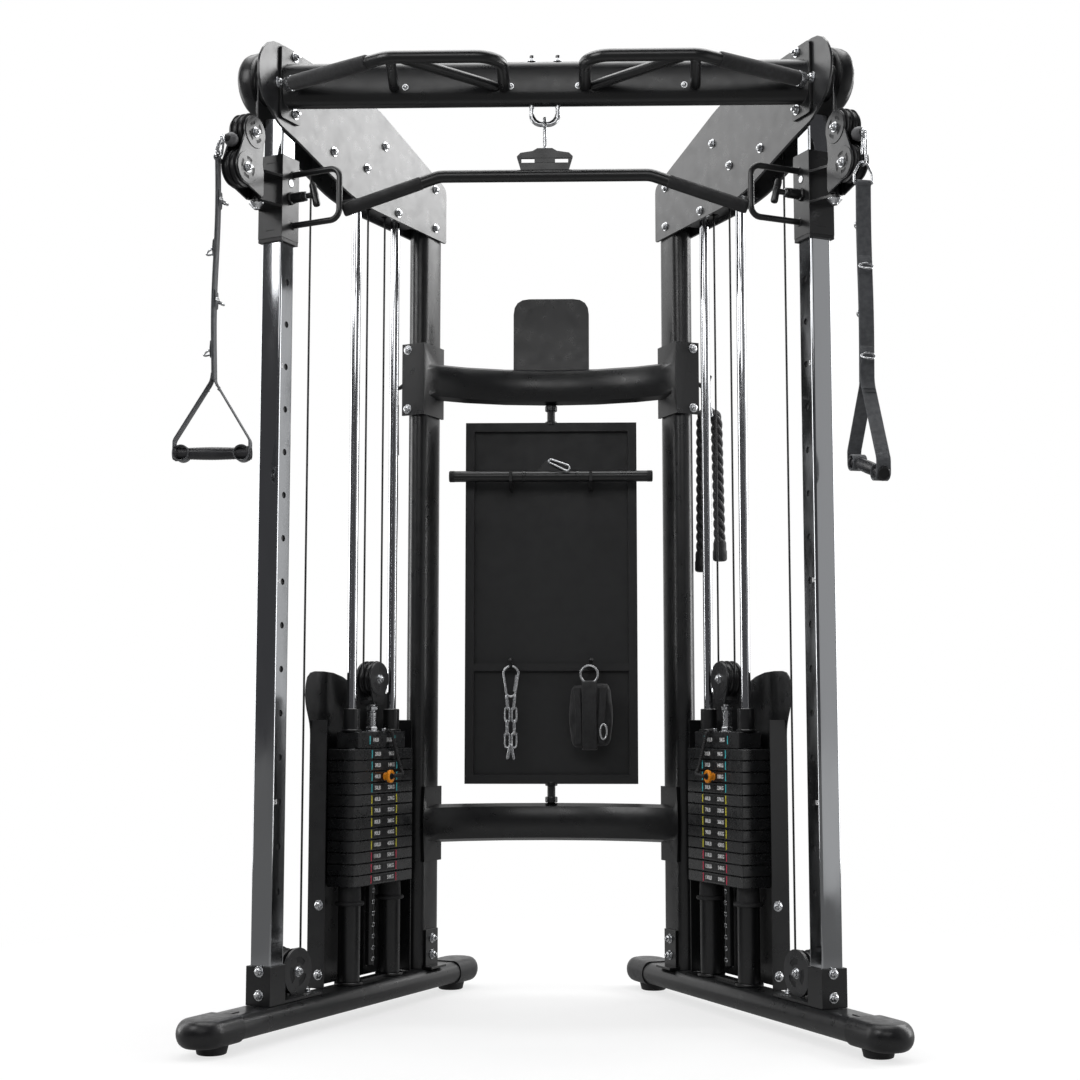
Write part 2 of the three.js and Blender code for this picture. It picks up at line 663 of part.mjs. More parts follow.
// ---------------------------------------------------------------- cable
// One steel cable: anchored behind the carriage, round the base sheave, up and over to the
// stack, round the stack sheave, back up, forward over the top sheave and down to the block.
function mainCable() {
  const [by, bz] = BASE_SHEAVE;
  const high = 1985;
  const rise = new THREE.Vector3(BASE_SHEAVE_X, by + BASE_PITCH, bz);
  const stackLeft = STACK_Y - PITCH_RADIUS;
  const stackRight = STACK_Y + PITCH_RADIUS;
  const points = [
    new THREE.Vector3(BASE_SHEAVE_X, by - BASE_PITCH, SLEEVE_LOW + 6 - GAP),
    ...arcPoints(BASE_SHEAVE, BASE_PITCH, -Math.PI, 0, 6, BASE_SHEAVE_X),
    new THREE.Vector3(rise.x, rise.y, high - 40),
    ...arcPoints([rise.y + PITCH_RADIUS, high], PITCH_RADIUS, Math.PI, Math.PI / 2, 3, -6),
    ...arcPoints([stackLeft - PITCH_RADIUS, high], PITCH_RADIUS, Math.PI / 2, 0, 3, 0),
    ...arcPoints([STACK_Y, STACK_SHEAVE_Z], PITCH_RADIUS, -Math.PI, 0, 6, 0),
    ...arcPoints([stackRight - PITCH_RADIUS, high + 25], PITCH_RADIUS, 0, Math.PI / 2, 3, 0),
    ...arcPoints(TOP_SHEAVE, PITCH_RADIUS, Math.PI / 2, Math.PI, 3, 0),
    new THREE.Vector3(0, SWIVEL_Y, BLOCK_UPPER[1]),
  ];
  return roundBar(points, CABLE_RADIUS, 6);
}

// ---------------------------------------------------------------- hand grips
// A ball on the cable's end rests against the block; the handle swings from the link below it.
function ballStop({ hangX, drop }) {
  const pivot = HANDLE_PIVOT_Z - drop;
  const link = roundBar(
    [
      new THREE.Vector3(0, BALL_Y, BALL_Z),
      new THREE.Vector3(hangX, HANG_Y, pivot + 10),
      new THREE.Vector3(hangX, HANG_Y, pivot - 3),
    ],
    5,
    8,
  );
  return union(sphere(0, BALL_Y, BALL_Z, 15), link);
}

function strapHandle({ hangX, turn, drop }) {
  const top = HANDLE_PIVOT_Z - 7 - drop;
  const split = 1348 - drop;
  const gripZ = 1192 - drop;
  const strap = box(-16, 16, -3, 3, split - 10, top);
  const legs = [-1, 1].map((side) =>
    roundBar([new THREE.Vector3(0, side * 2, split), new THREE.Vector3(0, side * 71, gripZ)], 5, 6),
  );
  const grip = cylinder("y", -76, 76, [0, gripZ], 14, 14);
  return union(strap, ...legs, grip).rotate([0, 0, turn]).translate([hangX, HANG_Y, 0]);
}

// ---------------------------------------------------------------- beams between the frames
const SPLAY_DEGREES = THREE.MathUtils.radToDeg(SPLAY);
const onLeft = (manifold) => manifold.rotate([0, 0, -SPLAY_DEGREES]).translate([-SIDE_X, 0, 0]);
const onRight = (manifold) => onLeft(manifold).mirror([1, 0, 0]);

function topBeam() {
  const seat = GUSSET_IN + PLATE + GAP;
  const along = new THREE.Matrix4().makeBasis(
    new THREE.Vector3(0, 1, 0),
    new THREE.Vector3(0, 0, 1),
    new THREE.Vector3(1, 0, 0),
  );
  const outline = racetrack(TUBE_THIN, BEAM_TALL, [BEAM_Y, BEAM_Z]);
  const hollow = [TUBE_THIN - 2 * WALL, BEAM_TALL - 2 * WALL];
  outline.holes.push(racetrack(...hollow, [BEAM_Y, BEAM_Z]));
  const tube = extruded(outline, -620, 620, along, 3);
  const trim = box(-120, seat + 2, -150, 150, 1800, 2200);
  const endPlate = cut(
    uprightPlate(roundedRectangle(-50, 24, 1938, 2098, 10), seat, seat + PLATE, 3),
    cylinder("x", seat - 1, seat + PLATE + 1, [-16, BEAM_Z], 12, 8),
  );
  const loopTop = BEAM_Z + 64;
  const loopEnds = [
    [-28, BEAM_Y, loopTop],
    [-28, BEAM_Y, LOOP_Z],
    [28, BEAM_Y, LOOP_Z],
    [28, BEAM_Y, loopTop],
  ];
  const loop = roundBar(bent(loopEnds, 26, 4), 5, 8);
  const beam = cut(tube, onLeft(trim), onRight(trim));
  return union(beam, onLeft(endPlate), onRight(endPlate), loop);
}

// Angled pull-up grip: free outer leg, front run, inner leg and two struts to the beam's face.
function pullUpGrip() {
  const face = BEAM_Y - TUBE_THIN / 2 - GAP;
  const z = GRIP_Z;
  const frontY = -228;
  const corners = [[-545, -82, z], [-320, frontY, z], [-86, frontY, z], [-86, face + 4, z]];
  const run = roundBar(bent(corners, 52, 4), 13, 8);
  const strut = (fromX, toX) =>
    roundBar([new THREE.Vector3(fromX, frontY, z), new THREE.Vector3(toX, face + 4, z)], 11, 6);
  const behind = box(-700, 0, face, face + 60, z - 60, z + 60);
  return cut(union(run, strut(-312, -322), strut(-296, -104)), behind);
}

// Rear beam bowed backwards between the rear uprights, with a bracket round each of them.
function crossBeam(z) {
  const seat = TUBE_THIN / 2 + GAP;
  const half = [[320, 526], [262, 570], [150, 617]];
  const corners = [
    ...half.map(([x, y]) => new THREE.Vector3(-x, y, z)),
    new THREE.Vector3(0, CROSS_BOW_Y, z),
    ...half.reverse().map(([x, y]) => new THREE.Vector3(x, y, z)),
  ];
  const curve = new THREE.CatmullRomCurve3(corners);
  const outline = racetrack(CROSS_TALL, TUBE_THIN);
  outline.holes.push(racetrack(CROSS_TALL - 2 * WALL, TUBE_THIN - 2 * WALL));
  const tube = swept(curve.getPoints(8), outline);
  const trim = box(-160, seat + 1, 380, 800, z - 80, z + 80);
  const nose = REAR_Y - TUBE_WIDE / 2 - GAP;
  const tall = 88;
  const plate = box(seat, seat + PLATE, nose - PLATE, nose + 90, z - tall, z + tall);
  const wrap = box(-31, seat + PLATE, nose - PLATE, nose, z - tall, z + tall);
  const bracket = cut(union(plate, wrap), cylinder("x", seat - 1, seat + 8, [REAR_Y, z], 10, 8));
  return union(cut(tube, onLeft(trim), onRight(trim)), onLeft(bracket), onRight(bracket));
}

// Upper beam with the rounded rest plate that stands up behind it.
function upperCrossBeam() {
  const back = CROSS_BOW_Y + TUBE_THIN / 2;
  const backwards = new THREE.Matrix4().makeBasis(
    new THREE.Vector3(-1, 0, 0),
    new THREE.Vector3(0, 0, 1),
    new THREE.Vector3(0, 1, 0),
  );
  const outline = roundedPolygon(
    [[-95, 1450, 4], [95, 1450, 4], [95, 1712, 40], [-95, 1712, 40]],
    4,
  );
  return union(crossBeam(UPPER_CROSS_Z), extruded(outline, back - 4, back + 2, backwards, 4));
}

// ---------------------------------------------------------------- storage board and its load
function storageBoard() {
  const front = CROSS_BOW_Y - BOARD_DEEP / 2;
  const back = CROSS_BOW_Y + BOARD_DEEP / 2;
  const rim = 22;
  const tray = (inset, y0, y1) =>
    box(-BOARD_HALF + inset, BOARD_HALF - inset, y0, y1, BOARD_LOW + inset, BOARD_HIGH - inset);
  const frame = cut(tray(0, front, back), tray(rim, front - 1, front + 12), tray(4, front + 15, back + 1));
  const rail = box(-BOARD_HALF + 4, BOARD_HALF - 4, front, front + 13, PEG_Z - 9, PEG_Z + 9);
  const pivots = [
    [BOARD_HIGH - 1, UPPER_CROSS_Z - CROSS_TALL / 2 - GAP],
    [LOWER_CROSS_Z + CROSS_TALL / 2 + GAP, BOARD_LOW + 1],
  ].map(([low, high]) => cylinder("z", low, high, [0, CROSS_BOW_Y], 10, 12));
  const cradles = [-PEG_X, PEG_X].map((x) =>
    uprightPlate(
      polygon([
        [front + 13, BAR_Z + 16],
        [front + 13, BAR_Z - 32],
        [BAR_Y - 6, BAR_Z - 28],
        [BAR_Y - 24, BAR_Z - 14],
        [BAR_Y - 24, BAR_Z + 8],
        [BAR_Y - 18, BAR_Z + 8],
        [BAR_Y - 16, BAR_Z - 8],
        [BAR_Y - 7, BAR_Z - 15.5],
        [BAR_Y + 7, BAR_Z - 15.5],
        [BAR_Y + 16, BAR_Z - 8],
        [BAR_Y + 20, BAR_Z + 16],
      ]),
      x - 4,
      x + 4,
    ),
  );
  const pegs = [-PEG_X, PEG_X].map((x) => {
    const tip = [x, front - 32, PEG_Z + 16];
    return roundBar(bent([[x, front + 2, PEG_Z], [x, front - 26, PEG_Z], tip], 6, 3), 4.5, 8);
  });
  return union(frame, rail, ...pivots, ...cradles, ...pegs);
}

function straightBar() {
  const bar = cylinder("x", -250, 250, [BAR_Y, BAR_Z], BAR_RADIUS, 14);
  const lug = cut(
    box(-20, 20, BAR_Y - 4, BAR_Y + 4, BAR_Z + 4, BAR_Z + 38),
    cylinder("y", BAR_Y - 5, BAR_Y + 5, [0, BAR_Z + 26], 7, 10),
  );
  return union(bar, lug);
}

function ankleCuff() {
  const outline = roundedRectangle(PEG_X - 52, PEG_X + 50, BAR_Y - 26, BAR_Y + 14, 18);
  return levelPlate(outline, 590, 740, 3);
}

function latBar() {
  const y = BEAM_Y;
  const ends = [
    [-LAT_END, y, LAT_Z - LAT_DROP],
    [-LAT_HALF, y, LAT_Z],
    [LAT_HALF, y, LAT_Z],
    [LAT_END, y, LAT_Z - LAT_DROP],
  ];
  const bar = roundBar(bent(ends, 60, 2), BAR_RADIUS - 0.5, 8);
  const forwards = new THREE.Matrix4().makeBasis(
    new THREE.Vector3(1, 0, 0),
    new THREE.Vector3(0, 0, 1),
    new THREE.Vector3(0, -1, 0),
  );
  const outline = roundedPolygon(
    [
      [-50, LAT_Z + 6, 2],
      [50, LAT_Z + 6, 2],
      [62, LAT_Z + 44, 14],
      [22, LAT_Z + 62, 10],
      [-22, LAT_Z + 62, 10],
      [-62, LAT_Z + 44, 14],
    ],
    4,
  );
  const slots = [-36, 36].map((x) => box(x - 15, x + 15, y - 6, y + 6, LAT_Z + 28, LAT_Z + 38));
  const eye = cylinder("y", y - 6, y + 6, [0, LAT_Z + 48], 6, 10);
  const lug = cut(extruded(outline, -y - 4, -y + 4, forwards, 3), ...slots, eye);
  const top = LOOP_Z + 9.4;
  const hook = [
    [0, y, LAT_Z + 56],
    [0, y + 12, LAT_Z + 70],
    [0, y + 12, top],
    [0, y - 12, top],
    [0, y - 12, LOOP_Z - 10],
  ];
  return union(bar, lug, roundBar(bent(hook, 7, 3), 4, 8));
}

// Rope handle hung from the right rear upright's hook, in the right side frame's coordinates.
function tricepsRope() {
  const at = (x, y, z) => [x, HOOK_Y + y, z];
  const fold = HOOK_Z - 84;
  const ends = [[-56, 1040], [-106, 1068]];
  const route = [at(-56, 0, 1040), at(-60, 0, fold), at(-100, 0, fold), at(-106, 0, 1068)];
  const strands = roundBar(bent(route, 18, 3), 11, 8);
  const stoppers = ends.map(([x, z]) => cylinder("z", z - 26, z + 24, [x, HOOK_Y], 17, 10));
  const crown = HOOK_Z - 6;
  const linkRoute = [
    at(-80, -9, fold - 6),
    at(-64, -14, crown),
    at(-64, 14, crown),
    at(-80, 9, fold - 6),
  ];
  return union(strands, roundBar(bent(linkRoute, 9, 3), 3.5, 6), ...stoppers);
}

// ---------------------------------------------------------------- one side frame
function sideFrame(side, handle) {
  const frame = new THREE.Group();
  const add = (name, manifold, material) => place(frame, `${side}_${name}`, manifold, material);
  add("base_rail", baseRail(), BLACK_PAINT);
  add("foot_bracket", footBracket(), BLACK_PAINT);
  add("base_pulley", sheave(BASE_SHEAVE, 47, 17, BASE_SHEAVE_X), NYLON);
  add("front_upright", frontUpright(), CHROME);
  add("rear_upright", rearUpright(), BLACK_PAINT);
  add("inner_gusset", innerGusset(), GREY_PAINT);
  add("outer_gusset", outerGusset(), BLACK_PAINT);
  add("top_pulley", sheave(TOP_SHEAVE, SHEAVE_RADIUS, 15), NYLON);
  add("guide_rod_front", guideRod(-1), CHROME);
  add("guide_rod_rear", guideRod(1), CHROME);
  add("stack_base", stackBase(), RUBBER);
  add("stack_shroud", stackShroud(), BLACK_PAINT);
  add("lower_plates", lowerPlates(), IRON);
  add("lifted_plates", liftedPlates(), IRON);
  add("selector_pin", selectorPin(), ORANGE);
  add("stack_pulley_block", stackPulleyBlock(), BLACK_PAINT);
  add("stack_pulley", sheave([STACK_Y, STACK_SHEAVE_Z], SHEAVE_RADIUS, 14), NYLON);
  add("carriage", carriage(), BLACK_PAINT);
  add("pop_pin", popPin(), BLACK_PAINT);
  add("pulley_block", pulleyBlock(), GREY_PAINT);
  add("block_pulley_upper", sheave(BLOCK_UPPER, SHEAVE_RADIUS, 15), NYLON);
  add("block_pulley_lower", sheave(BLOCK_LOWER, SHEAVE_RADIUS, 15), NYLON);
  add("cable", mainCable(), RUBBER);
  add("ball_stop", ballStop(handle), RUBBER);
  add("strap_handle", strapHandle(handle), WEBBING);
  frame.position.set(-SIDE_X, 0, 0);
  frame.rotation.z = -SPLAY;
  return frame;
}

// ---------------------------------------------------------------- model
const trainer = new THREE.Group();
trainer.position.set(FRAME_X, FRAME_Y, 0);

const left = sideFrame("left", LEFT_HANDLE);
const rightMirror = new THREE.Group();
rightMirror.scale.x = -1;
rightMirror.add(sideFrame("right", RIGHT_HANDLE));
trainer.add(left, rightMirror);

place(trainer, "top_beam", topBeam(), BLACK_PAINT);
place(trainer, "left_pull_up_grip", pullUpGrip(), BLACK_PAINT);
place(trainer, "right_pull_up_grip", pullUpGrip().mirror([1, 0, 0]), BLACK_PAINT);
place(trainer, "upper_cross_beam", upperCrossBeam(), BLACK_PAINT);
place(trainer, "lower_cross_beam", crossBeam(LOWER_CROSS_Z), BLACK_PAINT);
place(trainer, "storage_board", storageBoard(), BLACK_PAINT);
place(trainer, "straight_bar", straightBar(), BLACK_PAINT);
place(trainer, "ankle_cuff", ankleCuff(), WEBBING);
place(trainer, "lat_bar", latBar(), BLACK_PAINT);
place(trainer, "triceps_rope", onRight(tricepsRope()), RUBBER);

export default trainer;
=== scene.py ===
"""Looks of the functional trainer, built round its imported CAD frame.

Pieces are drawn in millimetres in one of three frames of reference: a side frame's own (x inwards
from the front upright, y rearwards along the base rail, z up), or the machine's (x to the right,
y rearwards from the front uprights). Each is then placed in the row frame, in metres.
"""
import json
import math

import bmesh
import bpy
from mathutils import Matrix, Vector, noise


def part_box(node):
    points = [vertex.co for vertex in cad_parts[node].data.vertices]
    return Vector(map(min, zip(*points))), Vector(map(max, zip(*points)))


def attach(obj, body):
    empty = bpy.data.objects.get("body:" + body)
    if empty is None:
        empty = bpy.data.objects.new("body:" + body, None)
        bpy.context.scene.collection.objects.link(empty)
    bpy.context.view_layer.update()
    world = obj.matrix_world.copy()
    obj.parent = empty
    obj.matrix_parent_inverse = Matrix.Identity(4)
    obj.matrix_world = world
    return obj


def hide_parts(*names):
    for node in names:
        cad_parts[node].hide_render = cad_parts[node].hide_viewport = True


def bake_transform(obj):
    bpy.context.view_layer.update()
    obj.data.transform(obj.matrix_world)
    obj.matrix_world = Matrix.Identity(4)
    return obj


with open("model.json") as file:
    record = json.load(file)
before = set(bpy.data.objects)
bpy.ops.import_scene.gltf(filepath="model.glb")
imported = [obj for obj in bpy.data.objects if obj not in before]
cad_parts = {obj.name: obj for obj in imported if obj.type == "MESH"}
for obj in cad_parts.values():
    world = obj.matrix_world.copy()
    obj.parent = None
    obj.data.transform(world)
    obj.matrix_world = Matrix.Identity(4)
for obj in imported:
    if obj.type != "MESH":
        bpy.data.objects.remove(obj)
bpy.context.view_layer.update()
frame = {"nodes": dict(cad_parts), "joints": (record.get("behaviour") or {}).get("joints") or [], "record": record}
RECORD = frame["record"]
SIDES = ("left", "right")
BODY_OF = {n: b for b, nodes in RECORD["behaviour"]["bodies"].items() for n in nodes}
SLOT_OF = {part["node"]: part["material_slot"] for part in RECORD["subparts"]}
JOINTS = {joint["name"]: joint for joint in frame["joints"]}
MOUNTS = {mount["name"]: Vector(mount["pos_m"]) for mount in RECORD["mounts"]}
UP = Vector((0, 0, 1))
ALONG_X = (1, 0, 0)

# ------------------------------------------------------------------ places, from the frame
FRONT_FOOT_Y = -180
MM = 0.001


def side_frame(side):
    front, rear = MOUNTS[f"{side}_front_foot"], MOUNTS[f"{side}_rear_foot"]
    along = (rear - front).normalized()
    inwards = along.cross(UP) * (1 if side == "left" else -1)
    origin = front - along * FRONT_FOOT_Y * MM
    turn = Matrix((inwards, along, UP)).transposed().to_4x4()
    return Matrix.Translation(origin) @ turn @ Matrix.Scale(MM, 4)


SIDE_FRAME = {side: side_frame(side) for side in SIDES}
MIDDLE = (SIDE_FRAME["left"].translation + SIDE_FRAME["right"].translation) / 2
MACHINE = Matrix.Translation(MIDDLE) @ Matrix.Scale(MM, 4)


def axle(side, joint):
    """A hinge's place in its side frame."""
    return SIDE_FRAME[side].inverted() @ Vector(JOINTS[f"{side}_{joint}"]["pos_m"])


def heights(node):
    low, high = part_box(node)
    return low.z / MM, high.z / MM


UPRIGHT = 50
UPRIGHT_WALL = 3
UPRIGHT_LOW, UPRIGHT_TOP = heights("left_front_upright")
SLEEVE = 62
SLEEVE_LOW, SLEEVE_HIGH = heights("left_carriage")
PIN_Z = 1772
HOLE_PITCH = 92
HOLE_COUNT = 17
HOLE_RADIUS = 7
PLATE = 6
GUSSET_IN = UPRIGHT / 2 + 0.3
FLANGE_LOW, FLANGE_HIGH = 1745, 1811

SHEAVE_RADIUS = 41
SHEAVE_WIDTHS = {1: 20, 2: 29}  # by number of grooves
PITCH_RADIUS = 37
CABLE_RADIUS = 2.4
SWIVEL = axle("left", "block_swivel")
BLOCK_UPPER = axle("left", "upper_pulley_spin")
BLOCK_LOWER = axle("left", "lower_pulley_spin")
TOP_SHEAVE = axle("left", "top_pulley_spin")
BASE_SHEAVE = axle("left", "base_pulley_spin")
STACK_SHEAVE = axle("left", "stack_pulley_spin")
BASE_PITCH = 43
STACK_Y = STACK_SHEAVE.y
ROD_SPREAD = 85
ROD_RADIUS = 11
BALL = Vector((0, SWIVEL.y - 92, 1856))
HANG_Y = BALL.y - 12
CABLE_HIGH = 1985

PLATE_PITCH = 25.4
PLATE_GAP = 0.8
POUND_STEP = 10
KG_PER_POUND = 0.4536
PLATE_LENGTH, PLATE_WIDTH = 250, 72
HEAD_LENGTH, HEAD_WIDTH, HEAD_HEIGHT = 200, 60, 38
LOWER_COUNT, PICKED_COUNT = 9, 3
STACK_LOW = heights("left_lower_plates")[0]
LOWER_TOP = STACK_LOW + LOWER_COUNT * PLATE_PITCH
PICKED_TOP = LOWER_TOP + PICKED_COUNT * PLATE_PITCH
PICK_Z = LOWER_TOP + PLATE_PITCH / 2
RAIL_TOP = 70
RAIL_HALF = 25
RAIL_FRONT, RAIL_REAR = -262, 850
REAR_FOOT_Y = 768

BEAM_Y, BEAM_Z, BEAM_DEEP = -32, 2014, 50
BAR_Y, BAR_Z = 586, 1250
PEG_X, PEG_Z = 98, 783
HOOK_Y, HOOK_Z = 606, 1490
BOARD_FRONT = 624.5
LAT_Z, LAT_HALF, LAT_END, LAT_DROP = 1812, 226, 430, 72
LOOP_Z = 1925


# ------------------------------------------------------------------ materials
class Shader:
    """A Principled material whose varied inputs come from textures in the object's own space."""

    def __init__(self, name, color, roughness, metallic=0.0, **fixed):
        self.material = bpy.data.materials.new(name)
        self.material.use_nodes = True
        self.nodes = self.material.node_tree.nodes
        self.links = self.material.node_tree.links
        self.main = self.nodes["Principled BSDF"]
        self.main.inputs["Base Color"].default_value = (*color, 1)
        self.main.inputs["Roughness"].default_value = roughness
        self.main.inputs["Metallic"].default_value = metallic
        for socket, value in fixed.items():
            self.main.inputs[socket.replace("_", " ")].default_value = value
        self.place = self.nodes.new("ShaderNodeTexCoord").outputs["Object"]
        self.normal = None

    def noise(self, scale, detail=4.0, stretch=None):
        texture = self.nodes.new("ShaderNodeTexNoise")
        texture.inputs["Scale"].default_value = scale
        texture.inputs["Detail"].default_value = detail
        source = self.place
        if stretch:
            mapping = self.nodes.new("ShaderNodeMapping")
            mapping.inputs["Scale"].default_value = stretch
            self.links.new(self.place, mapping.inputs["Vector"])
            source = mapping.outputs["Vector"]
        self.links.new(source, texture.inputs["Vector"])
        return texture.outputs["Fac"]

    def bands(self, period, direction="Z", distortion=0.0):
        texture = self.nodes.new("ShaderNodeTexWave")
        texture.bands_direction = direction
        texture.inputs["Scale"].default_value = 2 * math.pi / (20 * period)
        texture.inputs["Distortion"].default_value = distortion
        self.links.new(self.place, texture.inputs["Vector"])
        return texture.outputs["Fac"]

    def spread(self, value, low, high, start=0.3, end=0.7):
        span = self.nodes.new("ShaderNodeMapRange")
        for socket, number in zip(("From Min", "From Max", "To Min", "To Max"), (start, end, low, high)):
            span.inputs[socket].default_value = number
        self.links.new(value, span.inputs["Value"])
        return span.outputs["Result"]

    def vary_roughness(self, value, low, high):
        self.links.new(self.spread(value, low, high), self.main.inputs["Roughness"])
        return self

    def vary_color(self, value, first, second):
        mix = self.nodes.new("ShaderNodeMix")
        mix.data_type = "RGBA"
        mix.inputs["A"].default_value = (*first, 1)
        mix.inputs["B"].default_value = (*second, 1)
        self.links.new(self.spread(value, 0, 1, 0.35, 0.65), mix.inputs["Factor"])
        self.links.new(mix.outputs["Result"], self.main.inputs["Base Color"])
        return self

    def bump(self, value, depth, strength=1.0):
        node = self.nodes.new("ShaderNodeBump")
        node.inputs["Distance"].default_value = depth
        node.inputs["Strength"].default_value = strength
        self.links.new(value, node.inputs["Height"])
        if self.normal:
            self.links.new(self.normal, node.inputs["Normal"])
        self.normal = node.outputs["Normal"]
        self.links.new(self.normal, self.main.inputs["Normal"])
        return self


def powder_coat(name, color, low, high, gloss=0.5):
    coat = Shader(name, color, (low + high) / 2, IOR=1.5, Specular_IOR_Level=gloss)
    patches = coat.noise(5, 5)
    grain = coat.noise(950, 2)
    darker = [c * 0.9 for c in color]
    lighter = [c * 1.1 for c in color]
    coat.vary_color(patches, darker, lighter).vary_roughness(coat.noise(34, 6), low, high)
    coat.bump(grain, 0.00005, 0.4)
    return coat.material


def chrome(name, color):
    plating = Shader(name, color, 0.06, metallic=1.0)
    plating.vary_roughness(plating.noise(26, 5, (1, 1, 0.3)), 0.04, 0.13)
    plating.bump(plating.noise(5, 1, (1, 1, 0.2)), 0.0006, 0.25)
    return plating.material


def bright_zinc(name, metallic=1.0):
    zinc = Shader(name, (0.68, 0.69, 0.71), 0.24, metallic=metallic)
    zinc.vary_color(zinc.noise(140, 3), (0.52, 0.53, 0.55), (0.78, 0.79, 0.8))
    zinc.vary_roughness(zinc.noise(300, 3), 0.16, 0.36).bump(zinc.noise(500, 2), 0.0001, 0.4)
    return zinc.material


def moulded(name, color, low, high, grain=700, depth=0.00015):
    plastic = Shader(name, color, (low + high) / 2, IOR=1.46)
    plastic.vary_color(plastic.noise(22, 4), [c * 0.8 for c in color], [c * 1.25 for c in color])
    plastic.vary_roughness(plastic.noise(60, 4), low, high).bump(plastic.noise(grain, 3), depth, 0.5)
    return plastic.material


def plate_iron():
    iron = Shader("weight_plate_coat", (0.016, 0.0165, 0.0175), 0.3, IOR=1.5, Specular_IOR_Level=1.0)
    iron.vary_color(iron.noise(60, 5), (0.013, 0.0135, 0.0145), (0.02, 0.0205, 0.0215))
    iron.vary_roughness(iron.noise(45, 5), 0.22, 0.34)
    iron.bump(iron.noise(420, 3), 0.00025, 0.5)
    return iron.material


def webbing():
    band = Shader("woven_webbing", (0.1, 0.104, 0.112), 0.86, Sheen_Weight=0.3, Sheen_Roughness=0.5)
    ribs = band.bands(0.0026)
    band.vary_color(band.noise(90, 4), (0.084, 0.088, 0.095), (0.12, 0.125, 0.134))
    band.bump(ribs, 0.0006, 0.8).bump(band.noise(900, 3), 0.0002, 0.6)
    return band.material


def foam():
    skin = Shader("foam_grip", (0.016, 0.016, 0.017), 0.82, Sheen_Weight=0.2, Sheen_Roughness=0.6)
    skin.vary_color(skin.noise(120, 4), (0.011, 0.011, 0.012), (0.022, 0.022, 0.024))
    skin.bump(skin.noise(650, 4), 0.0005, 0.7)
    return skin.material


def rope_fibre():
    yarn = Shader("rope_fibre", (0.02, 0.02, 0.022), 0.62, Sheen_Weight=0.3, Sheen_Roughness=0.4)
    yarn.vary_color(yarn.noise(260, 4), (0.009, 0.009, 0.01), (0.04, 0.04, 0.043))
    yarn.bump(yarn.bands(0.0032, "DIAGONAL", 3.0), 0.0006, 0.7).bump(yarn.noise(800, 3), 0.0004, 0.6)
    return yarn.material


def cuff_fabric():
    pad = Shader("cuff_neoprene", (0.011, 0.011, 0.012), 0.55, Sheen_Weight=0.25, Sheen_Roughness=0.5)
    pad.vary_color(pad.noise(70, 4), (0.008, 0.008, 0.009), (0.016, 0.016, 0.0175))
    pad.vary_roughness(pad.noise(50, 4), 0.42, 0.7).bump(pad.noise(500, 4), 0.0004, 0.6)
    return pad.material


def flat_ink(name, color):
    ink = Shader(name, color, 0.5)
    ink.vary_color(ink.noise(300, 2), [c * 0.88 for c in color], color)
    return ink.material


BLACK = powder_coat("black_powder_coat", (0.0075, 0.0078, 0.0085), 0.26, 0.36, 0.65)
SHEET = powder_coat("plate_powder_coat", (0.02, 0.0205, 0.022), 0.26, 0.34, 0.75)
BOARD_COAT = powder_coat("board_powder_coat", (0.016, 0.0163, 0.0172), 0.42, 0.6)
CHROME = chrome("chrome_plating", (0.45, 0.46, 0.475))
ROD_CHROME = chrome("guide_rod_chrome", (0.66, 0.67, 0.69))
ZINC = bright_zinc("bright_zinc")
CHAIN_ZINC = bright_zinc("chain_zinc", 0.55)
NYLON = moulded("sheave_nylon", (0.011, 0.011, 0.012), 0.26, 0.44)
RUBBER = moulded("black_rubber", (0.02, 0.02, 0.021), 0.5, 0.75, 500, 0.0003)
GREY_RUBBER = moulded("ball_rubber", (0.13, 0.13, 0.135), 0.45, 0.65, 500, 0.0002)
JACKET = moulded("cable_jacket", (0.012, 0.012, 0.013), 0.35, 0.5, 1200, 0.0001)
IRON = plate_iron()
WEBBING = webbing()
FOAM = foam()
ROPE = rope_fibre()
CUFF = cuff_fabric()
ORANGE = moulded("orange_plastic", (0.95, 0.32, 0.015), 0.28, 0.42)
GRIP_RUBBER = moulded("hand_grip_rubber", (0.035, 0.035, 0.038), 0.2, 0.3)
# Black for the plate labels, and for discs set in holes, slots and hollow ends as painted shade.
LABEL_AND_SHADE = moulded("label_black_and_painted_shade", (0.012, 0.012, 0.013), 0.4, 0.55)
WHITE_INK = flat_ink("white_ink", (0.9, 0.9, 0.9))
BAND_INKS = [flat_ink("cyan_ink", (0.08, 0.66, 0.72)), flat_ink("yellow_ink", (0.95, 0.85, 0.05)),
             flat_ink("red_ink", (0.85, 0.05, 0.12))]


# ------------------------------------------------------------------ drawing
def turn_to(direction):
    """Rotation that takes +Z to a direction."""
    return UP.rotation_difference(Vector(direction)).to_matrix().to_4x4()


def rounded(corners, radius, steps=7):
    """A polyline with its inner corners rounded to arcs."""
    points = [Vector(c) for c in corners]
    route = [points[0]]
    for before, at, after in zip(points, points[1:], points[2:]):
        first, second = (before - at).normalized(), (after - at).normalized()
        half = first.angle(second) / 2
        reach = min(radius / math.tan(half), (before - at).length * 0.49, (after - at).length * 0.49)
        arc = reach * math.tan(half)
        centre = at + (first + second).normalized() * (arc / math.sin(half))
        start, end = at + first * reach - centre, at + second * reach - centre
        sweep = start.angle(end)
        for i in range(steps + 1):
            share = i / steps
            a = math.sin((1 - share) * sweep) / math.sin(sweep)
            b = math.sin(share * sweep) / math.sin(sweep)
            route.append(centre + start * a + end * b)
    return route + [points[-1]]


def arc(centre, radius, start, end, steps=20, x=0.0):
    """Points of an arc in the upright plane, angles in degrees from the rearward direction."""
    for i in range(steps + 1):
        angle = math.radians(start + (end - start) * i / steps)
        yield Vector((x, centre[1] + radius * math.cos(angle), centre[2] + radius * math.sin(angle)))


